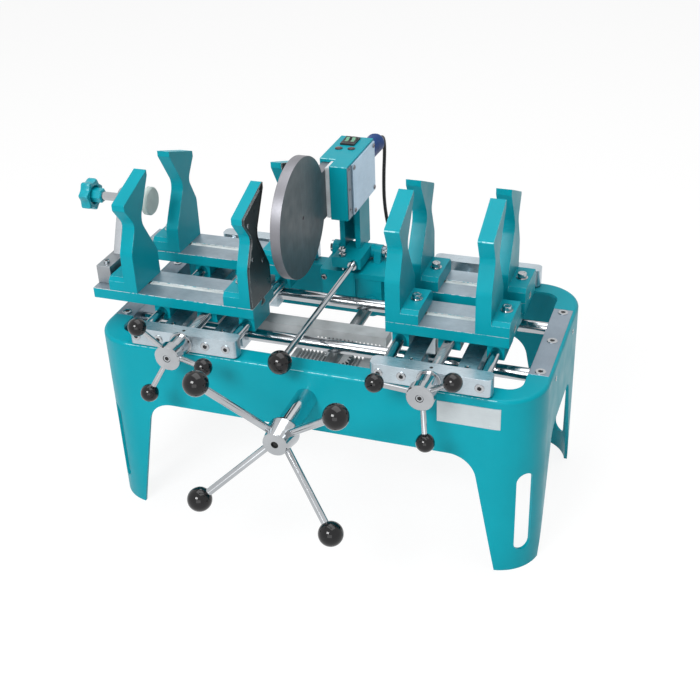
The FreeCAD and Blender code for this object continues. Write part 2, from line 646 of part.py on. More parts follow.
def make_jaw(side, sign, end, facing):
    name = "%s_%s" % (side, end)
    half_gap = s.left_half_gap if side == "left" else s.right_half_gap
    length = s.left_jaw_length if side == "left" else s.right_jaw_length
    inner_end = s.left_jaw_inner if side == "left" else s.right_jaw_inner
    carriage_x = carriage_middle(sign)
    outer = half_gap + s.jaw_depth

    def across(distance):
        return (outer - distance) * facing

    top = s.jaw_high
    throat = top - s.slot_throat_depth
    bottom = top - s.slot_depth
    middle = s.jaw_depth / 2
    neck = s.slot_throat / 2
    wide = s.slot_width / 2
    plate = prism(name + "_plate", "yz", [
        (across(0), s.jaw_low), (across(s.jaw_depth), s.jaw_low), (across(s.jaw_depth), top),
        (across(middle + neck), top), (across(middle + neck), throat), (across(middle + wide), throat),
        (across(middle + wide), bottom), (across(middle - wide), bottom), (across(middle - wide), throat),
        (across(middle - neck), throat), (across(middle - neck), top), (across(0), top),
    ], *ordered(inner_end * sign, (inner_end + length) * sign))
    lugs = []
    bores = []
    for i, (offset, width, depth, bore) in enumerate((
            (-s.cross_spread, s.lug_width, s.lug_depth, s.cross_radius),
            (s.cross_spread, s.lug_width, s.lug_depth, s.cross_radius),
            (as_size(0), s.nut_width, s.nut_depth, s.spindle_radius))):
        x = carriage_x + offset
        span = ordered(across(middle - depth / 2), across(middle + depth / 2))
        lugs.append(box("%s_lug_%d" % (name, i), (x - width / 2, x + width / 2), span,
                        (s.lug_low, s.jaw_low)))
        bores.append(rod("%s_lug_bore_%d" % (name, i), "y", bore + s.fit, (span[0] - 1, span[1] + 1),
                         (x, s.cross_height)))
    node(name + "_jaw", cut(name + "_jaw_bored", fuse(name + "_jaw_body", plate, *lugs), *bores))

    if side == "left":
        spans = ((inner_end + s.liner_thickness, s.left_inner_thickness),
                 (s.left_outer_support, s.left_outer_thickness))
    else:
        spans = ((inner_end, s.right_thickness), (s.right_outer_support, s.right_thickness))
    supports = []
    fasteners = []
    for i, (start, thickness) in enumerate(spans):
        stop = start + thickness
        tag = "%s_support_%d" % (name, i)
        upright = prism(tag + "_upright", "yz", support_outline(across, top, side),
                        *ordered(start * sign, stop * sign))
        foot_top = top + s.foot_height
        slope = s.foot_chamfer
        foot = prism(tag + "_foot", "yz", [
            (across(0), top), (across(0), foot_top - slope), (across(slope), foot_top),
            (across(78 - slope), foot_top), (across(78), foot_top - slope), (across(78), top),
        ], *ordered(stop * sign, (stop + s.foot_length) * sign))
        screw_x = (stop + s.foot_length / 2) * sign
        hole = rod(tag + "_hole", "z", s.screw_radius + s.gap, (top - 1, foot_top + 1),
                   (screw_x, across(middle)))
        supports.append(cut(tag, fuse(tag + "_body", upright, foot), hole))
        nut_low = bottom + s.fit
        nut_high = throat - s.fit
        screw = turned(tag + "_screw", "z", [
            (0, nut_low + 1), (s.screw_radius, nut_low + 1), (s.screw_radius, foot_top),
            (s.screw_head_radius, foot_top), (s.screw_head_radius, foot_top + s.screw_head),
            (0, foot_top + s.screw_head),
        ], (screw_x, across(middle), 0))
        half_nut = wide - s.gap
        y = across(middle)
        blank = box(tag + "_nut_blank", (screw_x - half_nut, screw_x + half_nut),
                    (y - half_nut, y + half_nut), (nut_low, nut_high))
        thread = rod(tag + "_thread", "z", s.screw_radius + s.fit, (nut_low - 1, nut_high + 1), (screw_x, y))
        fasteners += [screw, cut(tag + "_nut", blank, thread)]
    node(name + "_supports", group(name + "_support_pair", *supports))
    node(name + "_support_screws", group(name + "_fasteners", *fasteners))
    if side == "left":
        seam = inner_end + s.liner_thickness / 2
        liner = prism(name + "_liner_sheet", "yz", support_outline(across, top, side),
                      *ordered((inner_end + s.liner_thickness) * sign, seam * sign))
        facing_plate = prism(name + "_facing_plate", "yz", facing_outline(across, top),
                             *ordered(seam * sign, inner_end * sign))
        node(name + "_liner", group(name + "_liner_pair", liner, facing_plate))


# Pipe stop on the left front jaw
def make_stop():
    axis = (as_size(0), s.pipe_height)
    outer = -(s.left_half_gap + s.jaw_depth)
    left = -(s.left_jaw_inner + s.left_jaw_length)
    front = outer + s.bracket_front
    rear = front + s.bracket_block_depth
    top = s.jaw_high + s.bracket_block
    boss = s.bracket_boss
    neck_left = left + (s.bracket_width - s.bracket_neck) / 2 - 1
    neck_right = neck_left + s.bracket_neck
    block = box("stop_block", (left, left + s.bracket_width), (front, rear), (s.jaw_high, top))
    neck = prism("stop_neck", "yz", [
        (rear - 20, top), (rear, top), (boss - 10, axis[1] - boss - 2, 6), (boss, axis[1] - 10, 6),
        (boss, axis[1] + boss, boss - 1), (-boss, axis[1] + boss, boss - 1), (-boss, axis[1] - 4, 8),
    ], neck_left, neck_right)
    thread = rod("stop_thread", "x", s.stop_radius + s.fit, (neck_left - 1, neck_right + 1), axis)
    node("stop_bracket", cut("stop_bracket_bored", fuse("stop_bracket_body", block, neck), thread))
    screw_end = -(s.pad_face + s.pad_thickness)
    pad_back = screw_end - s.pad_boss
    bore = s.stop_radius + s.fit
    pad = turned("stop_pad_turned", "x", [
        (0, screw_end), (bore, screw_end), (bore, pad_back), (bore + 4, pad_back), (bore + 4, screw_end),
        (s.pad_radius, screw_end), (s.pad_radius, -s.pad_face - 2), (s.pad_radius - 2, -s.pad_face),
        (0, -s.pad_face),
    ], (0, axis[0], axis[1]))
    node("stop_pad", pad)
    head_right = -s.knob_end + s.knob_length
    hub_right = head_right + s.knob_hub_length
    screw = rod("stop_screw_rod", "x", s.stop_radius, (head_right, screw_end - s.fit), axis)
    node("stop_screw", screw)
    head = rod("stop_knob_blank", "x", s.knob_radius, (-s.knob_end, head_right), axis)
    hub = rod("stop_knob_hub", "x", s.stop_radius + 4.5, (head_right, hub_right), axis)
    flutes = []
    for i in range(6):
        angle = math.radians(60 * i)
        centre = s.knob_radius + 5
        flutes.append(rod("stop_flute_%d" % i, "x", 9, (-s.knob_end - 1, head_right + 1),
                          (axis[0] + centre * math.cos(angle), axis[1] + centre * math.sin(angle))))
    socket = rod("stop_knob_socket", "x", bore, (head_right, hub_right + 1), axis)
    node("stop_knob", cut("stop_knob_fluted", fuse("stop_knob_body", head, hub), *flutes, socket))


# Heater unit
hinge = (s.hinge_y, s.hinge_height)
base_top = s.table_height + s.base_thickness
housing_low = s.pipe_height - s.housing_drop
housing_high = s.pipe_height + s.housing_rise
grip_at = (s.grip_x, s.pipe_height + s.grip_rise)


def make_heater_base():
    plate = prism("base_plate", "xy", [
        (s.base_left, s.base_front, 4), (s.base_right, s.base_front, 4), (s.base_right, s.base_rear, 4),
        (s.base_left, s.base_rear, 4)], s.table_height, base_top)
    flange = box("base_flange_plate", (s.base_left + 4, s.flange_right), (s.base_front, s.base_front + 6),
                 (s.table_height - s.base_flange, s.table_height))
    wall = s.pin_radius + 6
    pieces = [plate, flange]
    for name, ear_x in (("left", (s.left_ear - s.ear_thickness, s.left_ear)),
                        ("right", (s.right_ear, s.right_ear + s.ear_thickness))):
        pieces.append(prism(name + "_ear", "yz", [
            (s.hinge_y - wall - 6, base_top), (s.hinge_y - wall, s.hinge_height + wall, wall - 1),
            (s.hinge_y + wall, s.hinge_height + wall, wall - 1), (s.hinge_y + wall - 4, base_top)], *ear_x))
    left = s.left_ear - s.ear_thickness
    right = s.right_ear + s.ear_thickness
    bore = rod("ear_bore", "x", s.pin_radius + s.fit, (left - 1, right + 1), hinge)
    node("heater_base", cut("heater_base_bored", fuse("heater_base_body", *pieces), bore))
    head = s.pin_radius + 4
    pin = turned("hinge_pin_turned", "x", [
        (0, left - 5), (head, left - 5), (head, left), (s.pin_radius, left), (s.pin_radius, right),
        (head, right), (head, right + 6), (s.pin_radius - 1, right + 6), (s.pin_radius - 1, right + 8),
        (0, right + 8),
    ], (0, *hinge))
    node("hinge_pin", pin)


def make_heater_arm():
    bar = box("arm_bar", (s.arm_left, s.arm_right), (s.arm_front, s.hinge_y), (s.arm_low, s.arm_high))
    hub = rod("arm_hub", "x", s.hub_outer, (s.left_ear + s.gap, s.right_ear - s.gap), hinge)
    back = s.post_rear - s.post_wall
    post = prism("arm_post", "xy", [
        (s.arm_left, s.post_front), (s.arm_left + s.post_wall, s.post_front),
        (s.arm_left + s.post_wall, back),
        (s.post_right - s.post_wall, back), (s.post_right - s.post_wall, s.post_front),
        (s.post_right, s.post_front), (s.post_right, s.post_rear, 3), (s.arm_left, s.post_rear, 3),
    ], s.arm_high - 6, housing_low)
    pin = rod("arm_pin_bore", "x", s.pin_radius + s.fit, (s.left_ear, s.right_ear), hinge)
    screw = rod("arm_rest_bore", "z", s.rest_radius + s.fit, (s.arm_low - 1, s.arm_high + 1),
                (s.rest_x, s.rest_y))
    seat = rod("arm_lever_bore", "y", s.lever_radius + s.fit, (s.arm_front - 1, s.arm_front + 18),
               (s.lever_x, s.lever_height))
    node("heater_arm", cut("arm_bored", fuse("arm_body", bar, hub, post), pin, screw, seat))
    rest_tip = base_top + s.gap
    nut = s.rest_radius + 2.5
    top = s.arm_high
    rest = turned("rest_screw_turned", "z", [
        (0, rest_tip), (s.rest_radius, rest_tip), (s.rest_radius, top), (nut, top), (nut, top + 5),
        (s.rest_radius, top + 5), (s.rest_radius, top + 9), (nut, top + 9), (nut, top + 14), (0, top + 14),
    ], (s.rest_x, s.rest_y, 0))
    node("rest_screw", rest)
    front = s.arm_front
    lever = turned("lever_turned", "y", [
        (0, s.lever_knob_y), (s.lever_radius, s.lever_knob_y), (s.lever_radius, front - 8),
        (s.lever_radius + 3, front - 8), (s.lever_radius + 3, front), (s.lever_radius, front),
        (s.lever_radius, front + 18), (0, front + 18),
    ], (s.lever_x, 0, s.lever_height))
    node("heater_lever", lever)
    knob = ball("lever_ball", s.lever_knob_radius, (s.lever_x, s.lever_knob_y, s.lever_height))
    socket = rod("lever_ball_socket", "y", s.lever_radius + s.fit, (s.lever_knob_y, 0),
                 (s.lever_x, s.lever_height))
    node("lever_knob", cut("lever_ball_drilled", knob, socket))


def rocker_places():
    return [s.bezel_x - s.rocker_spread, s.bezel_x + s.rocker_spread]


def make_heater():
    low, high = housing_low, housing_high
    shell = prism("housing_block", "xy", [
        (s.housing_left, s.notch_y), (s.notch_x, s.notch_y), (s.notch_x, s.housing_front),
        (s.housing_right, s.housing_front, s.housing_corner), (s.housing_right, s.housing_rear),
        (s.housing_left, s.housing_rear)], low, high)
    neck_low = s.pipe_height - s.neck_height / 2
    neck_high = s.pipe_height + s.neck_height / 2
    neck_end = s.notch_y + s.neck_seat
    slot = box("housing_neck_slot", (s.plate_left - s.fit, s.plate_right + s.fit),
               (s.notch_y - 1, neck_end + s.fit), (neck_low - s.fit, neck_high + s.fit))
    half_x = s.bezel_width / 2 - 1.5
    half_y = s.bezel_length / 2 - 2
    pocket = box("housing_switch_pocket", (s.bezel_x - half_x, s.bezel_x + half_x),
                 (s.bezel_y - half_y, s.bezel_y + half_y), (high - 10, high + 1))
    node("heater_housing", cut("housing_cut", shell, slot, pocket))
    disc = rod("heater_disc", "x", s.plate_radius, (s.plate_left, s.plate_right), (0, s.pipe_height))
    neck = box("heater_neck", (s.plate_left, s.plate_right), (s.plate_radius * 0.7, neck_end),
               (neck_low, neck_high))
    bore = rod("heater_centre_hole", "x", 3, (s.plate_left - 1, s.plate_right + 1), (0, s.pipe_height))
    node("heater_plate", cut("heater_plate_drilled", fuse("heater_plate_body", disc, neck), bore))
    node("spacer_plate", box("spacer_sheet", (s.plate_right, s.notch_x), (s.housing_front, s.notch_y),
                             (low + s.cover_margin, high - s.cover_margin)))
    node("cover_plate", box("cover_sheet", (s.housing_right, s.housing_right + s.cover_thickness),
                            (s.cover_front, s.cover_rear), (low + s.cover_margin, high - s.cover_margin)))
    rear = s.housing_rear
    end = rear + s.grip_length
    radius = s.grip_radius
    grip = turned("grip_turned", "y", [
        (0, rear), (radius - 3, rear), (radius, rear + 6), (radius - 1, rear + s.grip_length / 2),
        (radius, end - 8), (radius - 2, end - 2), (radius - 5, end), (0, end)], (grip_at[0], 0, grip_at[1]))
    seat = rod("grip_cord_seat", "y", s.gland_radius + s.fit, (end - s.gland_seat, end + 1), grip_at)
    node("hand_grip", cut("grip_drilled", grip, seat))
    outline = (s.bezel_width / 2, s.bezel_length / 2)
    frame = box("bezel_frame", (s.bezel_x - outline[0], s.bezel_x + outline[0]),
                (s.bezel_y - outline[1], s.bezel_y + outline[1]), (high, high + s.bezel_height))
    half_w = s.rocker_width / 2
    half_l = s.rocker_length / 2
    pivot = (s.bezel_y, high + s.bezel_height / 2)
    windows = [rod("bezel_pivot_bore", "x", s.pivot_radius + s.fit,
                   (s.bezel_x - outline[0] + 1, s.bezel_x + outline[0] - 1), pivot)]
    for i, x in enumerate(rocker_places()):
        windows.append(box("bezel_window_%d" % i, (x - half_w - s.gap, x + half_w + s.gap),
                           (s.bezel_y - half_l - 0.5, s.bezel_y + half_l + 0.5),
                           (high - 1, high + s.bezel_height + 1)))
    node("switch_bezel", cut("bezel_cut", frame, *windows))
    for side, x in zip(("left", "right"), rocker_places()):
        key = prism(side + "_rocker_key", "yz", [
            (-half_l + 1.4, -6), (half_l - 1.4, -6), (half_l, 3.4), (0, 2), (-half_l, 3.4)],
            0, s.rocker_width)
        place(key, x - half_w, *pivot, Rotation(Vector(1, 0, 0), s.rocker_tilt.value))
        pin = rod(side + "_rocker_pin", "x", s.pivot_radius,
                  (x - half_w - 2 * s.gap, x + half_w + 2 * s.gap), pivot)
        node(side + "_rocker", fuse(side + "_rocker_body", key, pin))


# Cord: the lead hangs from the grip to the floor behind the table, and the rest lies in a coil there.
LEAD = [(-45, 332.1, 462), (-45, 354, 462), (-46.5, 373, 447), (-49, 381, 418), (-52, 382, 376),
        (-51, 378, 322), (-40, 372, 266), (-18, 362, 210), (8, 350, 154), (34, 339, 100), (58, 331, 52),
        (76, 320, 21), (88, 303, 5.6), (90, 280, 3.3), (90, 262.1, 3.3)]
COIL_SWEEP = 2250
COIL_TURNING = 1170
COIL_CLIMB = 180


def vector(point):
    return Vector(*[as_size(c).value for c in point])


def rounded_path(points):
    """Straight runs joined by tangent arcs, each as large as its runs allow, and the arcs' radii."""
    edges = []
    radii = []
    last = points[0]
    for before, corner, after in zip(points, points[1:], points[2:]):
        back = before - corner
        ahead = after - corner
        turn = math.pi - back.getAngle(ahead)
        reach = 0.45 * min(back.Length, ahead.Length)
        radius = reach / math.tan(turn / 2)
        radii.append(radius)
        start = corner + Vector(back).normalize() * reach
        end = corner + Vector(ahead).normalize() * reach
        inward = ((start + end) * 0.5 - corner).normalize()
        middle = corner + inward * (radius / math.cos(turn / 2) - radius)
        edges.append(Part.LineSegment(last, start).toShape())
        edges.append(Part.Arc(start, middle, end).toShape())
        last = end
    edges.append(Part.LineSegment(last, points[-1]).toShape())
    return edges, radii


def coil_point(sweep):
    """The coil's centre line: it winds in on the floor, climbs one layer, and winds out again."""
    angle = math.radians(180 + sweep)
    inmost = s.coil_radius.value - s.coil_pitch.value * COIL_TURNING / 360
    radius = inmost + s.coil_pitch.value * abs(sweep - COIL_TURNING) / 360
    climb = min(1, max(0, (sweep - COIL_TURNING + COIL_CLIMB / 2) / COIL_CLIMB))
    height = LEAD[-1][2] + s.coil_layer.value * climb * climb * (3 - 2 * climb)
    return Vector(table_x.value + s.coil_x.value + radius * math.cos(angle),
                  table_y.value + s.coil_y.value + radius * math.sin(angle), height)


def coil_heading(sweep):
    step = 0.5
    low, high = max(0, sweep - step), min(COIL_SWEEP, sweep + step)
    way = coil_point(high) - coil_point(low)
    return way.normalize()


def arc_from(start, heading, end):
    """The arc that leaves start along heading and meets end."""
    chord = end - start
    bend = heading.getAngle(chord)
    across = heading - chord * (heading.dot(chord) / chord.dot(chord))
    if across.Length < 1e-7:
        return Part.LineSegment(start, end).toShape()
    middle = (start + end) * 0.5 + across.normalize() * (chord.Length / 2 * math.tan(bend / 2))
    return Part.Arc(start, middle, end).toShape()


def biarc(start, heading, end, arrival):
    """Two arcs that leave start along heading and reach end along arrival."""
    reach = end - start
    both = heading + arrival
    spread = 2 * (1 - heading.dot(arrival))
    along = reach.dot(both)
    length = (math.sqrt(along * along + spread * reach.dot(reach)) - along) / spread
    joint = (start + end + (heading - arrival) * length) * 0.5
    second = arc_from(end, arrival * -1, joint)
    return [arc_from(start, heading, joint), second]


def tube(wire_edges, start, heading):
    wire = Part.Wire(Part.__sortEdges__(wire_edges))
    ring = Part.Wire([Part.Circle(start, heading, s.cord_radius.value).toShape()])
    solid = wire.makePipeShell([ring], True, False)
    expected = math.pi * s.cord_radius.value ** 2 * wire.Length
    print("cord length %.1f mm, volume over section times length %.4f"
          % (wire.Length, solid.Volume / expected))
    return solid


def make_cord():
    root = s.housing_rear + s.grip_length - s.gland_seat
    gland_end = root + s.gland_length
    neck = s.cord_radius + 1.6
    gland = turned("gland_turned", "y", [
        (0, root), (s.gland_radius, root), (s.gland_radius, root + s.gland_seat + 1), (neck, gland_end),
        (0, gland_end)], (grip_at[0], 0, grip_at[1]))
    node("cord_gland", gland)
    middle = Vector(table_x.value, table_y.value, 0)
    route = [Vector(*point) + middle for point in LEAD]
    edges, radii = rounded_path(route)
    print("lead radii", [round(radius, 1) for radius in radii])
    lead = tube(edges, route[0], route[1] - route[0])
    node("cord_lead", part_feature("lead_tube", lead))
    quarter = 90
    edges = []
    stations = list(range(0, COIL_SWEEP + 1, quarter))
    for low, high in zip(stations, stations[1:]):
        edges += biarc(coil_point(low), coil_heading(low), coil_point(high), coil_heading(high))
    end = coil_point(COIL_SWEEP)
    leaving = coil_heading(COIL_SWEEP)
    tail = end + leaving * s.plug_tail.value
    edges.append(Part.LineSegment(end, tail).toShape())
    line = [coil_point(sweep) for sweep in range(0, COIL_SWEEP + 1, 5)]
    apart = min((a - b).Length for i, a in enumerate(line) for b in line[i + 20:])
    print("coil's least gap to itself %.2f mm" % (apart - 2 * s.cord_radius.value))
    coil = tube(edges, coil_point(0), coil_heading(0))
    node("cord_coil", part_feature("coil_tube", coil))
    plug_length = s.plug_length.value
    width = s.plug_width.value
    height = tail.z
    body = Part.makeBox(plug_length, width, 2 * height - 0.4, Vector(0, -width / 2, 0.2 - height))
    body = body.makeFillet(5, [edge for edge in body.Edges])
    for side in (-1, 1):
        body = body.fuse(Part.makeCylinder(s.plug_pin_radius.value, s.plug_pin_length.value + 1,
                                           Vector(plug_length - 1, side * 9.5, 0), Vector(1, 0, 0)))
    plug = part_feature("plug_body", body.removeSplitter())
    plug.Placement = Placement(tail, Rotation(Vector(1, 0, 0), Vector(leaving.x, leaving.y, 0)))
    node("mains_plug", plug)


make_table()
make_guides()
make_bearings()
make_racks()
make_pinion_shaft()
make_handwheel()
for side, sign in (("left", -1), ("right", 1)):
    make_carriage(side, sign)
    for end, facing in (("front", -1), ("rear", 1)):
        make_jaw(side, sign, end, facing)
make_stop()
make_heater_base()
make_heater_arm()
make_heater()
make_cord()
doc.recompute()

faults = [thing.Name for thing in doc.Objects if "Invalid" in thing.State or "Error" in thing.State]
faults += [thing.Label for thing in nodes if thing.Shape.isNull() or not thing.Shape.isValid()]
if faults:
    raise SystemExit("not built: " + ", ".join(faults))
os.makedirs("parts", exist_ok=True)
for thing in nodes:
    thing.Shape.exportStep("parts/%s.step" % thing.Label)
print("%d nodes written" % len(nodes))
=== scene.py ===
import json
import math

import bmesh
import bpy
from mathutils import Matrix, Vector


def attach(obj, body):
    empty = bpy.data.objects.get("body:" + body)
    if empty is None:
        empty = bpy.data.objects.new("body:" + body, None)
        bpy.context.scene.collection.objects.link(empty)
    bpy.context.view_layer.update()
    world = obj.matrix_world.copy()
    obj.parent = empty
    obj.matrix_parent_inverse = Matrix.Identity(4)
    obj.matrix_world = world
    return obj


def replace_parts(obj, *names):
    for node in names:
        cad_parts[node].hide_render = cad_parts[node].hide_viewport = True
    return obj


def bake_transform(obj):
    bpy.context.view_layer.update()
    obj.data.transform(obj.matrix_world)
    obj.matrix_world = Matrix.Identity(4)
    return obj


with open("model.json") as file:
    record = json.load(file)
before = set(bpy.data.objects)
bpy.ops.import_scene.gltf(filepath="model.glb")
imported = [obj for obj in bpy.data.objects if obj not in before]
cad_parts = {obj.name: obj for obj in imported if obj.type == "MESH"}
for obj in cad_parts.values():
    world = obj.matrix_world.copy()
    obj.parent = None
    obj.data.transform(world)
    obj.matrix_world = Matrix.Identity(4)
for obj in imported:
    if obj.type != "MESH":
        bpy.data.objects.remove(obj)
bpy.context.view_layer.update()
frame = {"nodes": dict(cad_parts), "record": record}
scene = bpy.context.scene

# Places are written in millimetres from the middle of the table, on the floor.
TABLE_MIDDLE = Vector((41, 15.5, 0))
MM = 0.001
IN_MILLIMETRES = Matrix.Translation(TABLE_MIDDLE * MM) @ Matrix.Scale(MM, 4)
TO_RIGHT = (1, 0, 0)
TO_FRONT = (0, -1, 0)
TO_REAR = (0, 1, 0)
UP = (0, 0, 1)
SIDES = ("left", "right")
# The ends of each carriage, with the sign of their places across the table
ENDS = (("front", -1), ("rear", 1))


def at(x, y, z):
    """A place in the shared frame, in metres."""
    return (Vector((x, y, z)) + TABLE_MIDDLE) * MM


# Camera at the photograph's viewing angle
CAMERA_SENSOR = 36
CAMERA_LENS = 59.421
CAMERA_PLACE = (560.43, -1487.32, 1179.19)
CAMERA_RIGHT = Vector((0.944304, 0.327253, -0.034585))
CAMERA_UP = Vector((-0.139517, 0.493321, 0.858586))


def make_camera():
    data = bpy.data.cameras.new("camera")
    data.sensor_width = CAMERA_SENSOR
    data.lens = CAMERA_LENS
    camera = bpy.data.objects.new("camera", data)
    back = CAMERA_RIGHT.cross(CAMERA_UP)
    turn = Matrix((CAMERA_RIGHT, CAMERA_UP, back)).transposed()
    camera.matrix_world = Matrix.LocRotScale(at(*CAMERA_PLACE), turn.to_quaternion(), None)
    scene.collection.objects.link(camera)
    scene.camera = camera


# Materials
class Shader:
    """A procedural material: nodes are added by short calls and joined by name."""

    def __init__(self, name, color, roughness, metallic=0.0, **sockets):
        self.material = bpy.data.materials.new(name)
        self.material.use_nodes = True
        self.tree = self.material.node_tree
        self.bsdf = self.tree.nodes["Principled BSDF"]
        self.color = color
        self.bsdf.inputs["Base Color"].default_value = (*color, 1)
        self.bsdf.inputs["Roughness"].default_value = roughness
        self.bsdf.inputs["Metallic"].default_value = metallic
        for socket, value in sockets.items():
            self.bsdf.inputs[socket.replace("_", " ")].default_value = value
        coordinates = self.tree.nodes.new("ShaderNodeTexCoord")
        self.place = coordinates.outputs["Object"]

    def node(self, kind):
        return self.tree.nodes.new(kind)

    def join(self, out, into):
        self.tree.links.new(out, into)

    def stretched(self, scale):
        mapping = self.node("ShaderNodeMapping")
        mapping.inputs["Scale"].default_value = scale
        self.join(self.place, mapping.inputs["Vector"])
        return mapping.outputs["Vector"]

    def noise(self, scale, detail=3.0, stretch=None, roughness=0.5):
        made = self.node("ShaderNodeTexNoise")
        made.inputs["Scale"].default_value = scale
        made.inputs["Detail"].default_value = detail
        made.inputs["Roughness"].default_value = roughness
        self.join(self.stretched(stretch) if stretch else self.place, made.inputs["Vector"])
        return made.outputs["Fac"]

    def ramp(self, value, stops):
        made = self.node("ShaderNodeValToRGB")
        for element, (position, color) in zip(made.color_ramp.elements, stops):
            element.position = position
            element.color = (*color, 1)
        self.join(value, made.inputs["Fac"])
        return made.outputs["Color"]

    def spread(self, value, low, high, start=0.0, stop=1.0):
        made = self.node("ShaderNodeMapRange")
        for socket, number in zip(("From Min", "From Max", "To Min", "To Max"), (start, stop, low, high)):
            made.inputs[socket].default_value = number
        self.join(value, made.inputs["Value"])
        return made.outputs["Result"]

    def tint(self, value, darker, lighter, start=0.3, stop=0.7):
        low = [c * darker for c in self.color]
        high = [min(1.0, c * lighter) for c in self.color]
        self.join(self.ramp(value, [(start, low), (stop, high)]), self.bsdf.inputs["Base Color"])

    def rough(self, value, low, high, start=0.3, stop=0.7):
        self.join(self.spread(value, low, high, start, stop), self.bsdf.inputs["Roughness"])

    def bump(self, value, height_mm, strength):
        made = self.node("ShaderNodeBump")
        made.inputs["Distance"].default_value = height_mm * MM
        made.inputs["Strength"].default_value = strength
        self.join(value, made.inputs["Height"])
        self.join(made.outputs["Normal"], self.bsdf.inputs["Normal"])


def paint(name, color, roughness):
    """Sprayed enamel with a faint orange-peel skin and slightly uneven gloss."""
    made = Shader(name, color, roughness, Specular_IOR_Level=0.13)
    made.tint(made.noise(9, detail=4), darker=0.94, lighter=1.05)
    made.rough(made.noise(26, detail=5), roughness * 0.85, roughness * 1.25)
    made.bump(made.noise(420, detail=2), height_mm=0.035, strength=0.3)
    return made.material


def milled(name, color, roughness, grain=(18, 420, 420), clouds=0.8):
    """Bare metal with fine cutter lines along one axis and cloudy handling marks."""
    made = Shader(name, color, roughness, metallic=1.0)
    lines = made.noise(4, detail=5, stretch=grain, roughness=0.65)
    made.tint(made.noise(22, detail=5, roughness=0.6), darker=clouds, lighter=1.08)
    made.rough(lines, roughness * 0.72, roughness * 1.35)
    made.bump(lines, height_mm=0.02, strength=0.35)
    return made.material


def polished(name, color, roughness, grain=(900, 30, 30)):
    """Ground and plated bar: nearly a mirror, with hair-fine rings round it."""
    made = Shader(name, color, roughness, metallic=1.0)
    rings = made.noise(3, detail=4, stretch=grain, roughness=0.6)
    made.tint(made.noise(30), darker=0.88, lighter=1.03)
    made.rough(rings, roughness * 0.6, roughness * 1.7)
    made.bump(rings, height_mm=0.006, strength=0.3)
    return made.material


def plastic(name, color, roughness, skin_mm=0.02, scale=500, gloss=0.4):
    """A moulding or an even coat, with a skin as fine as scale and as deep as skin_mm."""
    made = Shader(name, color, roughness, Specular_IOR_Level=gloss)
    made.tint(made.noise(40), darker=0.85, lighter=1.15)
    made.rough(made.noise(60, detail=4), roughness * 0.8, roughness * 1.25)
    made.bump(made.noise(scale, detail=2), skin_mm, strength=0.3)
    return made.material


def heater_coat(name, color):
    """Baked non-stick coat over turned metal: faint vertical streaks and a satin skin."""
    made = Shader(name, color, 0.42, Specular_IOR_Level=0.5)
    streaks = made.noise(3, detail=5, stretch=(40, 60, 5), roughness=0.7)
    made.tint(streaks, darker=0.82, lighter=1.14)
    made.rough(made.noise(45, detail=4), 0.34, 0.5)
    made.bump(made.noise(900, detail=2), height_mm=0.015, strength=0.4)
    return made.material


def chips_and_highlight(name, under, bare):
    """A coated edge with lighter patches in places, in the colour bare: chips of bare metal on the jaws and
    liners, and a painted highlight on the front bends and edges.
    """
    made = Shader(name, bare, 0.4, Specular_IOR_Level=0.4)
    patches = made.ramp(made.noise(130, detail=5, roughness=0.7), [(0.45, under), (0.5, bare)])
    made.join(patches, made.bsdf.inputs["Base Color"])
    made.rough(made.noise(60, detail=4), 0.3, 0.5)
    return made.material


def worn_sheet(name, color):
    """Dark coated plate whose rubbed patches are duller and a little lighter."""
    made = Shader(name, color, 0.32, Specular_IOR_Level=0.5)
    rubs = made.noise(55, detail=6, roughness=0.65)
    made.tint(rubs, darker=0.75, lighter=1.5)
    made.rough(rubs, 0.24, 0.45)
    made.bump(made.noise(700, detail=2), height_mm=0.02, strength=0.4)
    return made.material


TEAL = (0.001, 0.34, 0.42)
LOOKS = {
    "teal_paint": paint("teal_enamel", TEAL, 0.34),
    "teal_plastic": plastic("teal_moulding", TEAL, 0.32),
    "bare_aluminium": milled("milled_aluminium", (0.50, 0.58, 0.63), 0.3),
    "bright_steel": polished("plated_steel", (0.47, 0.49, 0.51), 0.1),
    "ground_steel": milled("ground_steel", (0.32, 0.34, 0.35), 0.42, grain=(420, 30, 420)),
    "grey_paint": milled("satin_end_plate", (0.25, 0.30, 0.35), 0.4, grain=(420, 16, 420), clouds=0.9),
    "dark_sheet": worn_sheet("dark_profile_coat", (0.03, 0.042, 0.046)),
    "black_knob": plastic("black_knob_moulding", (0.003, 0.003, 0.004), 0.06, skin_mm=0.004, scale=300),
    "heater_coating": heater_coat("heater_coat", (0.06, 0.085, 0.098)),
    "blue_grip": plastic("blue_grip_moulding", (0.004, 0.045, 0.19), 0.4, skin_mm=0.05, scale=900,
                         gloss=0.15),
    "black_trim": plastic("black_trim_moulding", (0.012, 0.012, 0.013), 0.45, skin_mm=0.03, scale=900),
    "green_rocker": plastic("green_key_moulding", (0.11, 0.33, 0.20), 0.25, skin_mm=0.01, scale=400),
    "white_pad": plastic("white_pad_moulding", (0.55, 0.63, 0.60), 0.4, scale=700),
    "cord_rubber": plastic("cord_sheath", (0.010, 0.010, 0.011), 0.5, skin_mm=0.04, scale=1200),
}
# Painted shade: near-black for the floors of sockets and slots, the holes in the block tops and the
# handwheel's bore
RECESS_SHADE = plastic("recess_shadow", (0.010, 0.011, 0.012), 0.6)
LAMP_LENS = plastic("lamp_lens", (0.06, 0.022, 0.028), 0.25, skin_mm=0.01, scale=300)
SLOT_METAL = milled("worn_slot", (0.66, 0.69, 0.70), 0.45, grain=(30, 300, 300), clouds=0.6)
SLOT_FILL = plastic("worn_slot_strip", (0.66, 0.70, 0.70), 0.55, skin_mm=0.3, scale=260, gloss=0.5)
JAW_METAL = milled("rubbed_jaw_top", (0.33, 0.40, 0.45), 0.44, clouds=0.75)
PALE_SHEET = plastic("pale_spacer", (0.80, 0.82, 0.84), 0.5, scale=400)
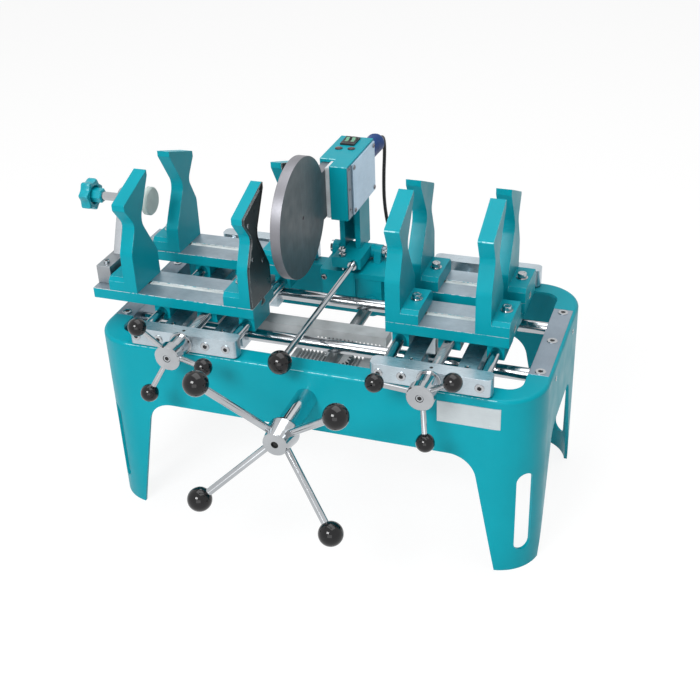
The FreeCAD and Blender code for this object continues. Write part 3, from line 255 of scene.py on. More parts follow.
STRIP_SHEET = milled("side_strip", (0.17, 0.22, 0.26), 0.45, grain=(300, 300, 16), clouds=0.9)
STOP_METAL = milled("stop_casting", (0.34, 0.36, 0.38), 0.42, grain=(200, 200, 30))
RIM_METAL = milled("turned_rim", (0.23, 0.23, 0.25), 0.45, grain=(420, 420, 420), clouds=0.92)
RACK_METAL = plastic("pale_rack_steel", (0.42, 0.44, 0.45), 0.4, skin_mm=0.05, scale=700, gloss=0.7)
BUSH_METAL = polished("polished_bush", (0.62, 0.64, 0.66), 0.08, grain=(30, 900, 30))
# Painted highlight: lighter teal patches, given as bare, where the lamps catch the table's front bend, the
# right supports' corners and the front upper edges
HIGHLIGHT_PAINT = chips_and_highlight("painted_highlight_edge", under=(0.02, 0.42, 0.50), bare=(0.42, 0.78, 0.82))
BLACK_SHEET = worn_sheet("black_liner", (0.010, 0.011, 0.012))
LINER_EDGE = chips_and_highlight("chipped_liner_edge", under=(0.016, 0.02, 0.022), bare=(0.72, 0.75, 0.75))
JAW_EDGE = chips_and_highlight("chipped_jaw_edge", under=TEAL, bare=(0.70, 0.74, 0.75))
LABEL_SHEET = milled("bare_label_sheet", (0.40, 0.52, 0.62), 0.5, grain=(300, 16, 300), clouds=0.94)
NAME_SHEET = milled("bare_name_sheet", (0.54, 0.59, 0.61), 0.42, grain=(16, 300, 300), clouds=0.92)
# A screw's metal, and painted shade on the floor of its socket or slot
STEEL = (LOOKS["bright_steel"], RECESS_SHADE)
SLOT_OF = {row["node"]: row["material_slot"] for row in frame["record"]["subparts"]}
BODY_OF = {name: body for body, names in frame["record"]["behaviour"]["bodies"].items() for name in names}


def look(piece, *materials):
    """Gives a piece its materials.

    Clearing puts every face back on the first material, so an empty list isn't cleared.
    """
    if piece.data.materials:
        piece.data.materials.clear()
    for material in materials:
        piece.data.materials.append(material)


# Mesh building: angles are in degrees, and weld is a distance in metres.
SMOOTH_ANGLE = 35
EASED_SMOOTH_ANGLE = 40
FLAT_ANGLE = 0.6
SHARP_ANGLE = 28
WELD = 1e-6


def new_piece(name, bm, body, slot, *materials, smooth_angle=SMOOTH_ANGLE):
    mesh = bpy.data.meshes.new(name)
    bmesh.ops.recalc_face_normals(bm, faces=bm.faces)
    bm.to_mesh(mesh)
    bm.free()
    for face in mesh.polygons:
        face.use_smooth = True
    mesh.set_sharp_from_angle(angle=math.radians(smooth_angle))
    piece = bpy.data.objects.new(name, mesh)
    scene.collection.objects.link(piece)
    look(piece, *(materials or (LOOKS[slot],)))
    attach(piece, body)
    return piece


def add(name, body, slot, materials, build):
    """A new piece whose mesh build() fills."""
    bm = bmesh.new()
    build(bm)
    return new_piece(name, bm, body, slot, *materials)


def loft(bm, loops, matrix, start_cap=True, end_cap=True, material=0):
    """Joins loops of equal length into a skin and closes its ends."""
    rings = [[bm.verts.new(matrix @ Vector(point)) for point in loop] for loop in loops]
    count = len(rings[0])
    faces = []
    for lower, upper in zip(rings, rings[1:]):
        for i in range(count):
            k = (i + 1) % count
            faces.append(bm.faces.new((lower[i], lower[k], upper[k], upper[i])))
    if start_cap:
        faces.append(bm.faces.new(rings[0][::-1]))
    if end_cap:
        faces.append(bm.faces.new(rings[-1]))
    for face in faces:
        face.material_index = material


def circle(radius, height, count=24):
    points = []
    for i in range(count):
        angle = 2 * math.pi * i / count
        points.append((radius * math.cos(angle), radius * math.sin(angle), height))
    return points


def hexagon(apothem, height, count=24):
    points = []
    for i in range(count):
        angle = 2 * math.pi * i / count
        away = (angle + math.pi / 6) % (math.pi / 3) - math.pi / 6
        radius = apothem / math.cos(away)
        points.append((radius * math.cos(angle), radius * math.sin(angle), height))
    return points


def facing(place, direction):
    """A matrix in millimetres whose Z axis points along direction."""
    turn = Vector(UP).rotation_difference(Vector(direction)).to_matrix().to_4x4()
    return Matrix.Translation(at(*place)) @ turn @ Matrix.Scale(MM, 4)


def socket_screw(bm, place, direction, radius, height, key):
    """A socket head screw standing on a face. key is half the width of its six-sided socket."""
    matrix = facing(place, direction)
    ease = min(0.6, radius * 0.12)
    socket_wall_end = height - max(0.5, height * 0.55)
    socket_floor = height - max(0.6, height * 0.65)
    head = [circle(radius, -0.3), circle(radius, height - ease), circle(radius - ease, height),
            circle(key * 1.22, height), hexagon(key, height - 0.15), hexagon(key, socket_wall_end)]
    loft(bm, head, matrix, end_cap=False)
    # The socket's floor takes the second material, the near-black painted shade.
    floor = [hexagon(key, socket_wall_end), circle(key * 0.3, socket_floor)]
    loft(bm, floor, matrix, start_cap=False, material=1)


def pan_screw(bm, place, direction, radius, height):
    """A low domed screw with a crossed slot."""
    matrix = facing(place, direction)
    dome = [circle(radius, -0.2), circle(radius, height * 0.4), circle(radius * 0.82, height * 0.85),
            circle(radius * 0.45, height)]
    loft(bm, dome, matrix)
    arm = radius * 0.55
    half = radius * 0.13
    corners = [(-arm, -half), (arm, -half), (arm, half), (-arm, half)]
    slot = [[(x, y, level) for x, y in corners] for level in (height - 0.1, height + 0.04)]
    # The crossed slot takes the second material, the near-black painted shade.
    for swing in (0, 90):
        loft(bm, slot, matrix @ Matrix.Rotation(math.radians(swing), 4, "Z"), material=1)


def lathe(bm, profile, place, direction, count=32, material=0):
    """A turned piece: profile points are radius and height along direction."""
    loops = [circle(max(radius, 0.01), height, count) for radius, height in profile]
    loft(bm, loops, facing(place, direction), material=material)


def plate(bm, place, direction, half_x, half_y, corner, thick, material):
    """A thin sheet with rounded corners and an eased upper edge, lying on a face."""
    def outline(inset, height):
        points = []
        reach = corner - inset
        for cx, cy, start in ((1, 1, 0), (-1, 1, 90), (-1, -1, 180), (1, -1, 270)):
            for step in range(5):
                angle = math.radians(start + 22.5 * step)
                x = cx * (half_x - corner) + reach * math.cos(angle)
                y = cy * (half_y - corner) + reach * math.sin(angle)
                points.append((x, y, height))
        return points

    loops = [outline(0, -0.2), outline(0, thick * 0.7), outline(thick * 0.3, thick)]
    loft(bm, loops, facing(place, direction), material=material)


def refine(name, edge_mm, *materials, pick=None, pick_edge=None, segments=2, shape=None):
    """A copy of a CAD node with eased edges, which stands for it.

    pick and pick_edge give the number of the material for a face and for an eased edge.
    shape() reworks the copy before its edges are eased.
    """
    source = frame["nodes"][name]
    bm = bmesh.new()
    bm.from_mesh(source.data)
    bm.transform(source.matrix_world)
    bmesh.ops.remove_doubles(bm, verts=bm.verts, dist=WELD)
    bmesh.ops.dissolve_limit(bm, angle_limit=math.radians(FLAT_ANGLE), verts=bm.verts, edges=bm.edges,
                             delimit={"NORMAL"})
    if shape:
        shape(bm)
    if pick:
        for face in bm.faces:
            face.material_index = pick(face)
    edges = [edge for edge in bm.edges
             if len(edge.link_faces) == 2 and edge.calc_face_angle(0) > math.radians(SHARP_ANGLE)]
    eased = bmesh.ops.bevel(bm, geom=edges, offset=edge_mm * MM, offset_type="OFFSET", segments=segments,
                            profile=0.5, affect="EDGES", clamp_overlap=True, material=-1)
    if pick_edge:
        for face in eased["faces"]:
            face.material_index = pick_edge(face)
    piece = new_piece("piece_" + name, bm, BODY_OF[name], SLOT_OF[name], *materials,
                      smooth_angle=EASED_SMOOTH_ANGLE)
    normals = piece.modifiers.new("even_shading", "WEIGHTED_NORMAL")
    normals.keep_sharp = True
    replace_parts(piece, name)


for node_name, node_object in frame["nodes"].items():
    look(node_object, LOOKS[SLOT_OF[node_name]])
for side in SIDES:
    look(frame["nodes"][side + "_rack"], RACK_METAL)
look(frame["nodes"]["front_shaft_bearing"], BUSH_METAL)

make_camera()

# Cord: the lead hangs from the grip to the floor, and the rest is coiled behind the table.
LEAD = [(-45, 332.1, 462), (-45, 354, 462), (-46.5, 373, 447), (-49, 381, 418), (-52, 382, 376),
        (-51, 378, 322), (-40, 372, 266), (-18, 362, 210), (8, 350, 154), (34, 339, 100),
        (58, 331, 52), (76, 320, 21), (88, 303, 5.6), (90, 280, 3.3), (90, 262.1, 3.3)]
CORD_RADIUS = 3.25
COIL_MIDDLE = (140, 262)
COIL_RADIUS = 50
COIL_PITCH = 7.1
COIL_LAYER = 6.95
# The coil runs inwards on the floor, climbs at its turning and runs outwards on top: all in degrees.
COIL_SWEEP = 2250
COIL_TURNING = 1170
COIL_CLIMB = 180
COIL_STEP = 18
PLUG_TAIL = 58
# The strain relief: its radius and the distance behind the table's middle, from the grip to the cord
GLAND_AXIS = (-45, 0, 462)
GLAND_PROFILE = [(0, 312), (7.4, 312), (7.85, 312.4), (7.85, 326.6), (7.2, 327.2), (7.4, 328), (6.2, 328.5),
                 (6.5, 329.4), (5.4, 329.9), (5.6, 330.8), (4.85, 331.3), (4.85, 332), (3.4, 332)]


def coil_point(sweep):
    angle = math.radians(180 + sweep)
    inmost = COIL_RADIUS - COIL_PITCH * COIL_TURNING / 360
    radius = inmost + COIL_PITCH * abs(sweep - COIL_TURNING) / 360
    climb = min(1, max(0, (sweep - COIL_TURNING + COIL_CLIMB / 2) / COIL_CLIMB))
    x = COIL_MIDDLE[0] + radius * math.cos(angle)
    y = COIL_MIDDLE[1] + radius * math.sin(angle)
    return Vector((x, y, LEAD[-1][2] + COIL_LAYER * climb * climb * (3 - 2 * climb)))


def make_cord(gland):
    points = [Vector(p) for p in LEAD]
    points += [coil_point(sweep) for sweep in range(COIL_STEP, COIL_SWEEP + 1, COIL_STEP)]
    leaving = (coil_point(COIL_SWEEP) - coil_point(COIL_SWEEP - 1)).normalized()
    points += [coil_point(COIL_SWEEP) + leaving * (PLUG_TAIL * share) for share in (0.3, 0.65, 1.0)]
    data = bpy.data.curves.new("cord_line", "CURVE")
    data.dimensions = "3D"
    data.resolution_u = 4
    spline = data.splines.new("NURBS")
    spline.points.add(len(points) - 1)
    for point, place in zip(spline.points, points):
        point.co = (*at(*place), 1)
    spline.use_endpoint_u = True
    spline.order_u = 3
    line = bpy.data.objects.new("cord_line", data)
    scene.collection.objects.link(line)

    def as_mesh():
        bpy.context.view_layer.update()
        return bpy.data.meshes.new_from_object(line.evaluated_get(bpy.context.evaluated_depsgraph_get()))

    centre = as_mesh()
    data.bevel_depth = CORD_RADIUS * MM
    data.bevel_resolution = 3
    data.use_fill_caps = True
    tube = as_mesh()
    tube.name = "cord"
    bpy.data.objects.remove(line)
    cord = bpy.data.objects.new("cord", tube)
    scene.collection.objects.link(cord)
    for face in tube.polygons:
        face.use_smooth = True
    look(cord, LOOKS["cord_rubber"])
    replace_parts(cord, "cord_lead", "cord_coil")
    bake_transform(cord)


def make_gland():
    def build(bm):
        lathe(bm, GLAND_PROFILE, GLAND_AXIS, TO_REAR)

    gland = add("strain_relief", "heater", "cord_rubber", (), build)
    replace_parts(gland, "cord_gland")
    return gland


make_cord(make_gland())

# CAD nodes with eased edges. Heights in the face tests are in metres above the floor.
# Plain paint, and the painted highlight where the lamps catch a bend, a corner or an edge
PAINTED, PAINTED_HIGHLIGHT = range(2)
BEND_FOOT = 0.29
CORNER_FOOT = 0.487


def table_face(face):
    """A painted highlight lies along the middle of the bend at the table's front."""
    slanting = 0.6 < face.normal.z < 0.8 and face.normal.y < 0 and abs(face.normal.x) < 0.05
    return PAINTED_HIGHLIGHT if slanting and face.calc_center_median().z > BEND_FOOT else PAINTED


def support_face(face):
    """A painted highlight lies where the right supports' upper corners turn to the front."""
    turning = abs(face.normal.x) < 0.1 and face.normal.y < -0.7 and 0.1 < face.normal.z < 0.5
    middle = face.calc_center_median()
    return PAINTED_HIGHLIGHT if turning and middle.z > CORNER_FOOT and middle.x > 0 else PAINTED


def front_edge(face):
    """A painted highlight lies on edges that face the front and up."""
    return PAINTED_HIGHLIGHT if face.normal.y < -0.35 and face.normal.z > 0.35 else PAINTED


# Each horn ends in a flat nose: its distance from the middle, its top and its foot.
NOSES = {"left": (38, 527, 518), "right": (18, 529.5, 520)}
TIP_FOOT = 522
TIP_REACH = 4.5


def blunt_horns(side, sign):
    """A shape() that moves the corners of each horn's rounded tip to the top or foot of its nose."""
    away, top, foot = NOSES[side]

    def shape(bm):
        places = {corner: corner.co / MM - TABLE_MIDDLE for corner in bm.verts}
        tips = {corner: place for corner, place in places.items()
                if place.z > TIP_FOOT and place.y * sign < away + TIP_REACH}
        heights = [place.z for place in tips.values()]
        middle = (min(heights) + max(heights)) / 2
        for corner, place in tips.items():
            corner.co = at(place.x, away * sign, top if place.z > middle else foot)
        bmesh.ops.remove_doubles(bm, verts=bm.verts, dist=WELD)
    return shape


refine("table_frame", 0.7, LOOKS["teal_paint"], HIGHLIGHT_PAINT, pick=table_face)
refine("rear_shaft_bearing", 0.8)
for side in SIDES:
    for end, sign in ENDS:
        refine("%s_%s_block" % (side, end), 0.8)
        refine("%s_%s_supports" % (side, end), 0.9, LOOKS["teal_paint"], HIGHLIGHT_PAINT,
               pick=support_face, pick_edge=front_edge, shape=blunt_horns(side, sign))
    refine("%s_slide_bars" % side, 0.6)
# Painted highlight on the housing's edges that face the front and up
refine("heater_housing", 0.9, LOOKS["teal_paint"], HIGHLIGHT_PAINT, pick_edge=front_edge)
refine("heater_arm", 0.8)
refine("heater_base", 0.8)
refine("end_plates", 0.6)
refine("stop_bracket", 0.8, STOP_METAL)
refine("cover_plate", 0.3, LABEL_SHEET)
refine("spacer_plate", 0.3, PALE_SHEET)

# The jaws, liners and heater plate: numbers of their materials, heights in metres, LINER_FRONT in millimetres
JAW_PAINT, JAW_TOP, JAW_SLOT, JAW_RIM = range(4)
JAW_HEIGHT = 0.352
SLOT_FLOOR = 0.342
LEVEL = 0.0005
SIDE_DEPTH = 0.001
RIM_DEPTH = 0.0009
LINER_FACING, LINER_SHEET, LINER_RIM = range(3)
LINER_FRONT = -101.999
DISC_COAT, DISC_RIM = range(2)


def is_outer(face):
    """True for the jaw's long outer and inner sides, which span its whole height."""
    return min(corner.co.z for corner in face.verts) < SLOT_FLOOR - SIDE_DEPTH


def jaw_face(face):
    """Bare metal on the jaw's top, brighter in its slot, and paint elsewhere."""
    height = face.calc_center_median().z
    if abs(height - JAW_HEIGHT) < LEVEL and face.normal.z > 0.9:
        return JAW_TOP
    inside = SLOT_FLOOR - LEVEL < height < JAW_HEIGHT - LEVEL
    return JAW_SLOT if inside and abs(face.normal.x) < 0.5 and not is_outer(face) else JAW_PAINT


def jaw_edge(face):
    """The upper edges are knocked bare in places."""
    return JAW_RIM if face.calc_center_median().z > JAW_HEIGHT - RIM_DEPTH else jaw_face(face)


def liner_face(face):
    """The facing plate is dark, and the liner behind it is black."""
    behind = face.calc_center_median().x / MM - TABLE_MIDDLE.x < LINER_FRONT
    return LINER_SHEET if behind else LINER_FACING


def liner_edge(_face):
    """All edges are knocked bare in places."""
    return LINER_RIM


def disc_face(face):
    """The coat is on the heater plate's flat faces."""
    return DISC_COAT if abs(face.normal.x) > 0.9 else DISC_RIM


for end, sign in ENDS:
    for side in SIDES:
        refine("%s_%s_jaw" % (side, end), 0.6, LOOKS["teal_paint"], JAW_METAL, SLOT_METAL, JAW_EDGE,
               pick=jaw_face, pick_edge=jaw_edge)
    refine("left_%s_liner" % end, 0.5, LOOKS["dark_sheet"], BLACK_SHEET, LINER_EDGE,
           pick=liner_face, pick_edge=liner_edge, segments=1, shape=blunt_horns("left", sign))
refine("heater_plate", 0.7, LOOKS["heater_coating"], RIM_METAL, pick=disc_face)

# Stop knob: a star with hollow sides and a six-sided hub
KNOB_AXIS = (0, 0, 457)
KNOB_LOBES = 7
KNOB_RADIUS = 26
KNOB_DIP = 5.6
KNOB_SOFTNESS = 0.03
KNOB_HUB = 10.2
STAR_POINTS = 84


def star(share, height):
    points = []
    for i in range(STAR_POINTS):
        angle = 2 * math.pi * i / STAR_POINTS
        dip = math.sqrt(math.sin(KNOB_LOBES / 2 * angle) ** 2 + KNOB_SOFTNESS) - math.sqrt(KNOB_SOFTNESS)
        radius = (KNOB_RADIUS - KNOB_DIP * dip) * share
        points.append((radius * math.cos(angle), radius * math.sin(angle), height))
    return points


def stop_knob(bm):
    loops = [circle(14, -431.2, STAR_POINTS), star(0.8, -432), star(0.94, -431.6), star(1, -429.5),
             star(1, -418), star(0.95, -415.6), star(0.84, -415), circle(15.5, -415.6, STAR_POINTS),
             circle(14, -421, STAR_POINTS), hexagon(KNOB_HUB, -421, STAR_POINTS),
             hexagon(KNOB_HUB, -401.4, STAR_POINTS), circle(9, -400, STAR_POINTS)]
    loft(bm, loops, facing(KNOB_AXIS, TO_RIGHT))


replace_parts(add("star_stop_knob", BODY_OF["stop_knob"], SLOT_OF["stop_knob"], (), stop_knob), "stop_knob")

# Switch keys: black with a green field in the middle of each
KEY_HALF = (2.7, 6.6)
KEY_GREEN, KEY_BLACK = range(2)


def make_switch_key(side):
    source = frame["nodes"][side + "_rocker"]

    def build(bm):
        bm.from_mesh(source.data)
        bm.transform(source.matrix_world)
        middle = sum((corner.co for corner in bm.verts), Vector()) / len(bm.verts)
        for axis, half in enumerate(KEY_HALF):
            across = Vector([1.0 if k == axis else 0.0 for k in range(3)])
            for sign in (-1, 1):
                bmesh.ops.bisect_plane(bm, geom=bm.verts[:] + bm.edges[:] + bm.faces[:],
                                       plane_co=middle + across * (sign * half * MM), plane_no=across)
        for face in bm.faces:
            away = face.calc_center_median() - middle
            field = all(abs(away[axis]) < half * MM for axis, half in enumerate(KEY_HALF))
            face.material_index = KEY_GREEN if field and face.normal.z > 0.5 else KEY_BLACK

    key = add(side + "_switch_key", BODY_OF[side + "_rocker"], SLOT_OF[side + "_rocker"],
              (LOOKS["green_rocker"], LOOKS["black_trim"]), build)
    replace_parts(key, side + "_rocker")


for side in SIDES:
    make_switch_key(side)

# Spindles with their hub, collar and thread, and the screws of each carriage
CARRIAGE_X = {"left": -188.5, "right": 192.5}
SPINDLE_HEIGHT = 320
SPINDLE_RADIUS = 8
THREAD_FLOOR = 7.3
THREAD_SPAN = (-150, 164)
THREAD_PITCH = 4
HUB_PROFILE = [(0, -214), (14.9, -214), (15.5, -213.4), (15.5, -185.8), (17.5, -185.8), (18, -185.3),
               (18, -182.6), (17.5, -182.1), (8, -182.1), (8, -157.5), (11.6, -157.5), (12, -157.1),
               (12, -154.2), (11.6, -153.8), (8, -153.8), (8, -150)]
HUB_FRONT = -226.2
BLOCK_SCREWS = {"left": (-264, -227, -150, -117), "right": (118, 152, 224, 264)}
BLOCK_SCREW_HEIGHT = 319.5
BLOCK_FACE = 181.8
BLOCK_TOP = 334
TOP_HOLE_Y = 170
BAR_ACROSS = 41
BAR_SCREW_Y = 128
BAR_TOP = 316


def make_spindle(side, x):
    def build(bm):
        profile = list(HUB_PROFILE)
        for start in range(*THREAD_SPAN, THREAD_PITCH):
            profile += [(SPINDLE_RADIUS, start + 0.8), (THREAD_FLOOR, start + 1.5),
                        (THREAD_FLOOR, start + 2.0), (SPINDLE_RADIUS, start + 2.7)]
        profile += [(SPINDLE_RADIUS, 173), (7.5, 173.5)]
        lathe(bm, profile, (x, 0, SPINDLE_HEIGHT), TO_REAR, count=28)

    spindle = add(side + "_threaded_spindle", side + "_spindle", "bright_steel", (), build)
    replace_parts(spindle, side + "_spindle")


def make_hub_screw(side, x):
    def build(bm):
        socket_screw(bm, (x, HUB_FRONT, SPINDLE_HEIGHT), TO_FRONT, radius=5.6, height=3.4, key=3)

    add(side + "_hub_screw", side + "_spindle", "bright_steel", STEEL, build)


def make_block_screws(side, x):
    """The screws in the end blocks' outer faces, a shallow disc of painted shade for a hole in each top, and
    the slide bars' screws.
    """
    def build(bm):
        for place in BLOCK_SCREWS[side]:
            for direction, y in ((TO_FRONT, -BLOCK_FACE), (TO_REAR, BLOCK_FACE)):
                socket_screw(bm, (place, y, BLOCK_SCREW_HEIGHT), direction, radius=7, height=1.4, key=3)
        for y in (-TOP_HOLE_Y, TOP_HOLE_Y):
            lathe(bm, [(2.6, -0.1), (2.6, 0.12), (1.9, 0.14), (0.1, 0.1)], (x, y, BLOCK_TOP), UP,
                  count=16, material=1)
        for bar in (-BAR_ACROSS, BAR_ACROSS):
            for y in (-BAR_SCREW_Y, BAR_SCREW_Y):
                socket_screw(bm, (x + bar, y, BAR_TOP), UP, radius=4.2, height=1.2, key=2.1)

    add(side + "_block_screws", side + "_carriage", "bright_steel", STEEL, build)


for side, x in CARRIAGE_X.items():
    make_spindle(side, x)
    make_hub_screw(side, x)
    make_block_screws(side, x)

# Screws on the supports' feet, the strips in the jaws' slots, and the liners' screws
FOOT_SCREWS = {"left": (-134.5, -328.5), "right": (137.5, 271.5)}
FOOT_ACROSS = {"left": 73, "right": 53}
FOOT_TOP = 374
SLOT_SPAN = {"left": (-293, -149), "right": (152, 234)}
SLOT_STEP = 1.6
STRIP_HALF = 4.3
STRIP_FOOT = 347.1
STRIP_TOPS = (350.2, 350.9)
LINER_FACE = -100
LINER_SCREWS = ((104, 485), (99, 429), (64, 412))


def make_cap_screws(side, end, sign):
    y = FOOT_ACROSS[side] * sign

    def build(bm):
        for place in FOOT_SCREWS[side]:
            lathe(bm, [(9, -0.1), (9, 1.1), (8.6, 1.5), (6.4, 1.5)], (place, y, FOOT_TOP), UP)
            socket_screw(bm, (place, y, FOOT_TOP), UP, radius=6.75, height=8.3, key=3.3)

    add("%s_%s_cap_screws" % (side, end), "%s_%s_jaw" % (side, end), "bright_steel", STEEL, build)


def make_slot_strip(side, end, sign):
    """A strip with a finely notched top, which lies in the jaw's slot."""
    low, high = SLOT_SPAN[side]
    count = int((high - low) / SLOT_STEP)
    y = FOOT_ACROSS[side] * sign

    def build(bm):
        loops = []
        for step in range(count + 1):
            x = low + (high - low) * step / count
            top = STRIP_TOPS[step % 2]
            loops.append([(x, y - STRIP_HALF, STRIP_FOOT), (x, y + STRIP_HALF, STRIP_FOOT),
                          (x, y + STRIP_HALF, top), (x, y - STRIP_HALF, top)])
        loft(bm, loops, IN_MILLIMETRES)

    add("%s_%s_slot_strip" % (side, end), "%s_%s_jaw" % (side, end), "ground_steel", (SLOT_FILL,), build)


def make_liner_screws(end, sign):
    def build(bm):
        for y, z in LINER_SCREWS:
            socket_screw(bm, (LINER_FACE, y * sign, z), TO_RIGHT, radius=3.6, height=0.9, key=1.8)

    add("left_%s_liner_screws" % end, "left_%s_jaw" % end, "bright_steel", STEEL, build)


for make_jaw_detail in (make_cap_screws, make_slot_strip):
    for side in SIDES:
        for end, sign in ENDS:
            make_jaw_detail(side, end, sign)
for end, sign in ENDS:
    make_liner_screws(end, sign)


# Handwheel and stand
def wheel_bore(bm):
    """The recess in the front of the handwheel's hub, all in near-black painted shade."""
    profile = [(5.3, -0.2), (5.4, 3), (4.9, 3.2), (4.6, 0.8), (2.4, 0.5), (2.2, 0.3), (0.1, 0.3)]
    lathe(bm, profile, (6, -299.2, 256), TO_FRONT)


add("wheel_bore", "drive", "black_trim", (RECESS_SHADE,), wheel_bore)

TABLE_HEIGHT = 303
TABLE_END = 350
END_PLATE_X = 331
TABLE_CORNER = 67
CORNER_MIDDLE = (283, -114.5)
NAME_LEFT = 204
NAME_LENGTH = 91
NAME_STEPS = 24
NAME_FOOT = 255
NAME_TOP = 289.5
NAME_EASE = 0.3


def stand_screws(bm):
    for x in (-END_PLATE_X, END_PLATE_X):
        for y in (-90, 0, 90):
            socket_screw(bm, (x, y, TABLE_HEIGHT), UP, radius=8, height=1.1, key=3.4)
        for y in (-70, 70):
            socket_screw(bm, (math.copysign(TABLE_END, x), y, 283), (x, 0, 0), radius=4, height=1.2, key=1.9)
    # One is on the front flange of the heater's base, and one on the right end of its hinge pin.
    socket_screw(bm, (-72, 114, 300), TO_FRONT, radius=5, height=3.4, key=2.4)
    socket_screw(bm, (20, 176, 327), TO_RIGHT, radius=8.6, height=1.6, key=3.6)


add("stand_screws", "stand", "bright_steel", STEEL, stand_screws)


def skirt_y(x, proud):
    """The skirt's front face, which turns away past the corner's start, lifted by proud."""
    along = max(0, x - CORNER_MIDDLE[0])
    return CORNER_MIDDLE[1] - math.sqrt((TABLE_CORNER + proud) ** 2 - along ** 2)


def name_plate(bm):
    """A bare sheet that follows the skirt round the start of its corner, held by four rivets."""
    loops = []
    for step in range(NAME_STEPS + 1):
        x = NAME_LEFT + NAME_LENGTH * step / NAME_STEPS
        inner = skirt_y(x, -0.2)
        outer = skirt_y(x, 0.8)
        loops.append([(x, inner, NAME_FOOT), (x, outer, NAME_FOOT + NAME_EASE),
                      (x, outer, NAME_TOP - NAME_EASE), (x, inner, NAME_TOP)])
    loft(bm, loops, IN_MILLIMETRES)
    for x in (207.5, 280):
        for z in (259, 285.5):
            lathe(bm, [(1.6, 0.5), (1.6, 1.0), (1.0, 1.3)], (x, -181.5, z), TO_FRONT, count=14)


add("bare_name_plate", "stand", "bare_aluminium", (NAME_SHEET,), name_plate)

# Heater unit
HOUSING_TOP = 503
LAMP_PLACES = ((-60, 176), (-39.5, 179))
LAMP_RIM = [(6.2, -0.1), (6.2, 0.9), (5.6, 1.3), (5.0, 1.3)]
LAMP_DOME = [(5.0, 0.9), (4.9, 1.5), (4.0, 1.9), (2.2, 2.1), (0.2, 2.2)]
REST_RADIUS = 3
NUT_SPANS = ((339, 344), (348, 353))


def housing_trim(bm):
    """The strip on the housing's side with its screws, and the screws of the cover plate."""
    plate(bm, (-20, 110, 457.5), TO_RIGHT, half_x=43, half_y=9.4, corner=1, thick=0.8, material=2)
    for z in (429, 463, 497):
        socket_screw(bm, (-19.2, 109, z), TO_RIGHT, radius=3, height=0.6, key=1.5)
    for y in (126, 224):
        for z in (421, 494):
            pan_screw(bm, (-17, y, z), TO_RIGHT, radius=4, height=1.8)


add("housing_trim", "heater", "bright_steel", (RIM_METAL, RECESS_SHADE, STRIP_SHEET), housing_trim)


def lamps(bm):
    for x, y in LAMP_PLACES:
        lathe(bm, LAMP_RIM, (x, y, HOUSING_TOP), UP, count=28, material=1)
        lathe(bm, LAMP_DOME, (x, y, HOUSING_TOP), UP, count=28)


add("indicator_lamps", "heater", "black_trim", (LAMP_LENS, LOOKS["black_trim"]), lamps)


def rest_screw(bm):
    """A stud with two nuts."""
    matrix = facing((-40, 120, 0), UP)
    foot = [circle(2.6, 313.3), circle(REST_RADIUS, 313.8), circle(REST_RADIUS, 339)]
    loft(bm, foot, matrix, end_cap=False)
    for low, high in NUT_SPANS:
        nut = [circle(5.3, low), hexagon(5.6, low + 0.5), hexagon(5.6, high - 0.5), circle(5.3, high)]
        loft(bm, nut, matrix)
    loft(bm, [circle(REST_RADIUS, 343), circle(REST_RADIUS, 349)], matrix)
    loft(bm, [circle(REST_RADIUS, 352), circle(REST_RADIUS, 355.4), circle(2.3, 356)], matrix)


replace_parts(add("rest_screw_and_nuts", "heater", "bright_steel", (), rest_screw), "rest_screw")


# Pipe stop
def stop_screw_head(bm):
    socket_screw(bm, (-360, -82, 382), UP, radius=5, height=4.5, key=2.5)


add("stop_block_screw", "left_front_jaw", "bright_steel", STEEL, stop_screw_head)

# Floor, background and lamps: the floor is in millimetres, and the lamps are in metres and watts.
FLOOR_RADIUS = 12000
FLOOR_THICKNESS = 40
FLOOR_SIDES = 48
FLOOR_GLOW = 1.08
FLOOR_GLOW_SHARE = 0.82
WORLD_LIGHT = 0.22
WORLD_WHITE = 1.0


def background_rays(tree):
    """1 for the rays that see the background: the camera's own, and those by way of metal and glass."""
    path = tree.nodes.new("ShaderNodeLightPath")
    seen = path.outputs["Is Camera Ray"]
    for kind in ("Is Glossy Ray", "Is Transmission Ray"):
        most = tree.nodes.new("ShaderNodeMath")
        most.operation = "MAXIMUM"
        tree.links.new(seen, most.inputs[0])
        tree.links.new(path.outputs[kind], most.inputs[1])
        seen = most.outputs[0]
    return seen


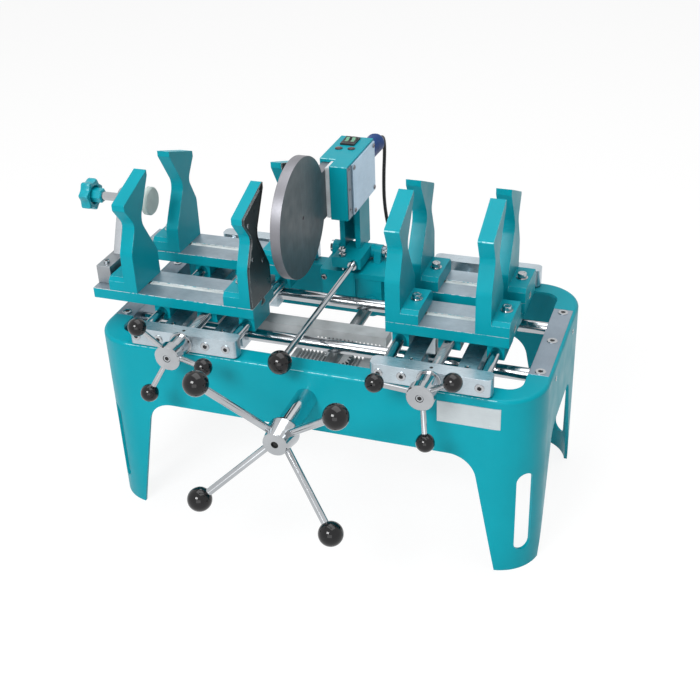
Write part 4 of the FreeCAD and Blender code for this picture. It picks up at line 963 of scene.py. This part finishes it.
def make_floor():
    bm = bmesh.new()
    loops = [circle(FLOOR_RADIUS, height, FLOOR_SIDES) for height in (-FLOOR_THICKNESS, 0)]
    loft(bm, loops, Matrix.Scale(MM, 4))
    mesh = bpy.data.meshes.new("floor")
    bm.to_mesh(mesh)
    bm.free()
    floor = bpy.data.objects.new("floor", mesh)
    scene.collection.objects.link(floor)
    made = Shader("pale_floor", (0.88, 0.88, 0.88), 0.9, Specular_IOR_Level=0.1)
    white = made.node("ShaderNodeEmission")
    white.inputs["Strength"].default_value = FLOOR_GLOW
    mix = made.node("ShaderNodeMixShader")
    share = made.spread(background_rays(made.tree), 0.0, FLOOR_GLOW_SHARE)
    made.join(share, mix.inputs["Fac"])
    made.join(made.bsdf.outputs["BSDF"], mix.inputs[1])
    made.join(white.outputs["Emission"], mix.inputs[2])
    made.join(mix.outputs["Shader"], made.tree.nodes["Material Output"].inputs["Surface"])
    look(floor, made.material)


def make_world():
    world = bpy.data.worlds.new("studio")
    scene.world = world
    world.use_nodes = True
    tree = world.node_tree
    background = tree.nodes["Background"]
    strength = tree.nodes.new("ShaderNodeMapRange")
    strength.inputs["To Min"].default_value = WORLD_LIGHT
    strength.inputs["To Max"].default_value = WORLD_WHITE
    tree.links.new(background_rays(tree), strength.inputs["Value"])
    tree.links.new(strength.outputs["Result"], background.inputs["Strength"])
    background.inputs["Color"].default_value = (1, 1, 1, 1)


def area_light(name, place, target, size, power):
    data = bpy.data.lights.new(name, "AREA")
    data.shape = "RECTANGLE"
    data.size, data.size_y = size
    data.energy = power
    lamp = bpy.data.objects.new(name, data)
    lamp.location = place
    lamp.rotation_mode = "QUATERNION"
    lamp.rotation_quaternion = (Vector(target) - Vector(place)).to_track_quat("-Z", "Y")
    scene.collection.objects.link(lamp)


make_floor()
scene.view_settings.view_transform = "Standard"
make_world()
area_light("key", place=(-0.5, -2.7, 2.4), target=(0, 0, 0.3), size=(1.25, 0.95), power=68)
area_light("fill", place=(0.6, -3.0, 0.9), target=(0, 0, 0.4), size=(2.0, 1.4), power=13)
area_light("top", place=(0.2, 0.4, 3.0), target=(0, 0, 0.3), size=(3.2, 2.2), power=48)
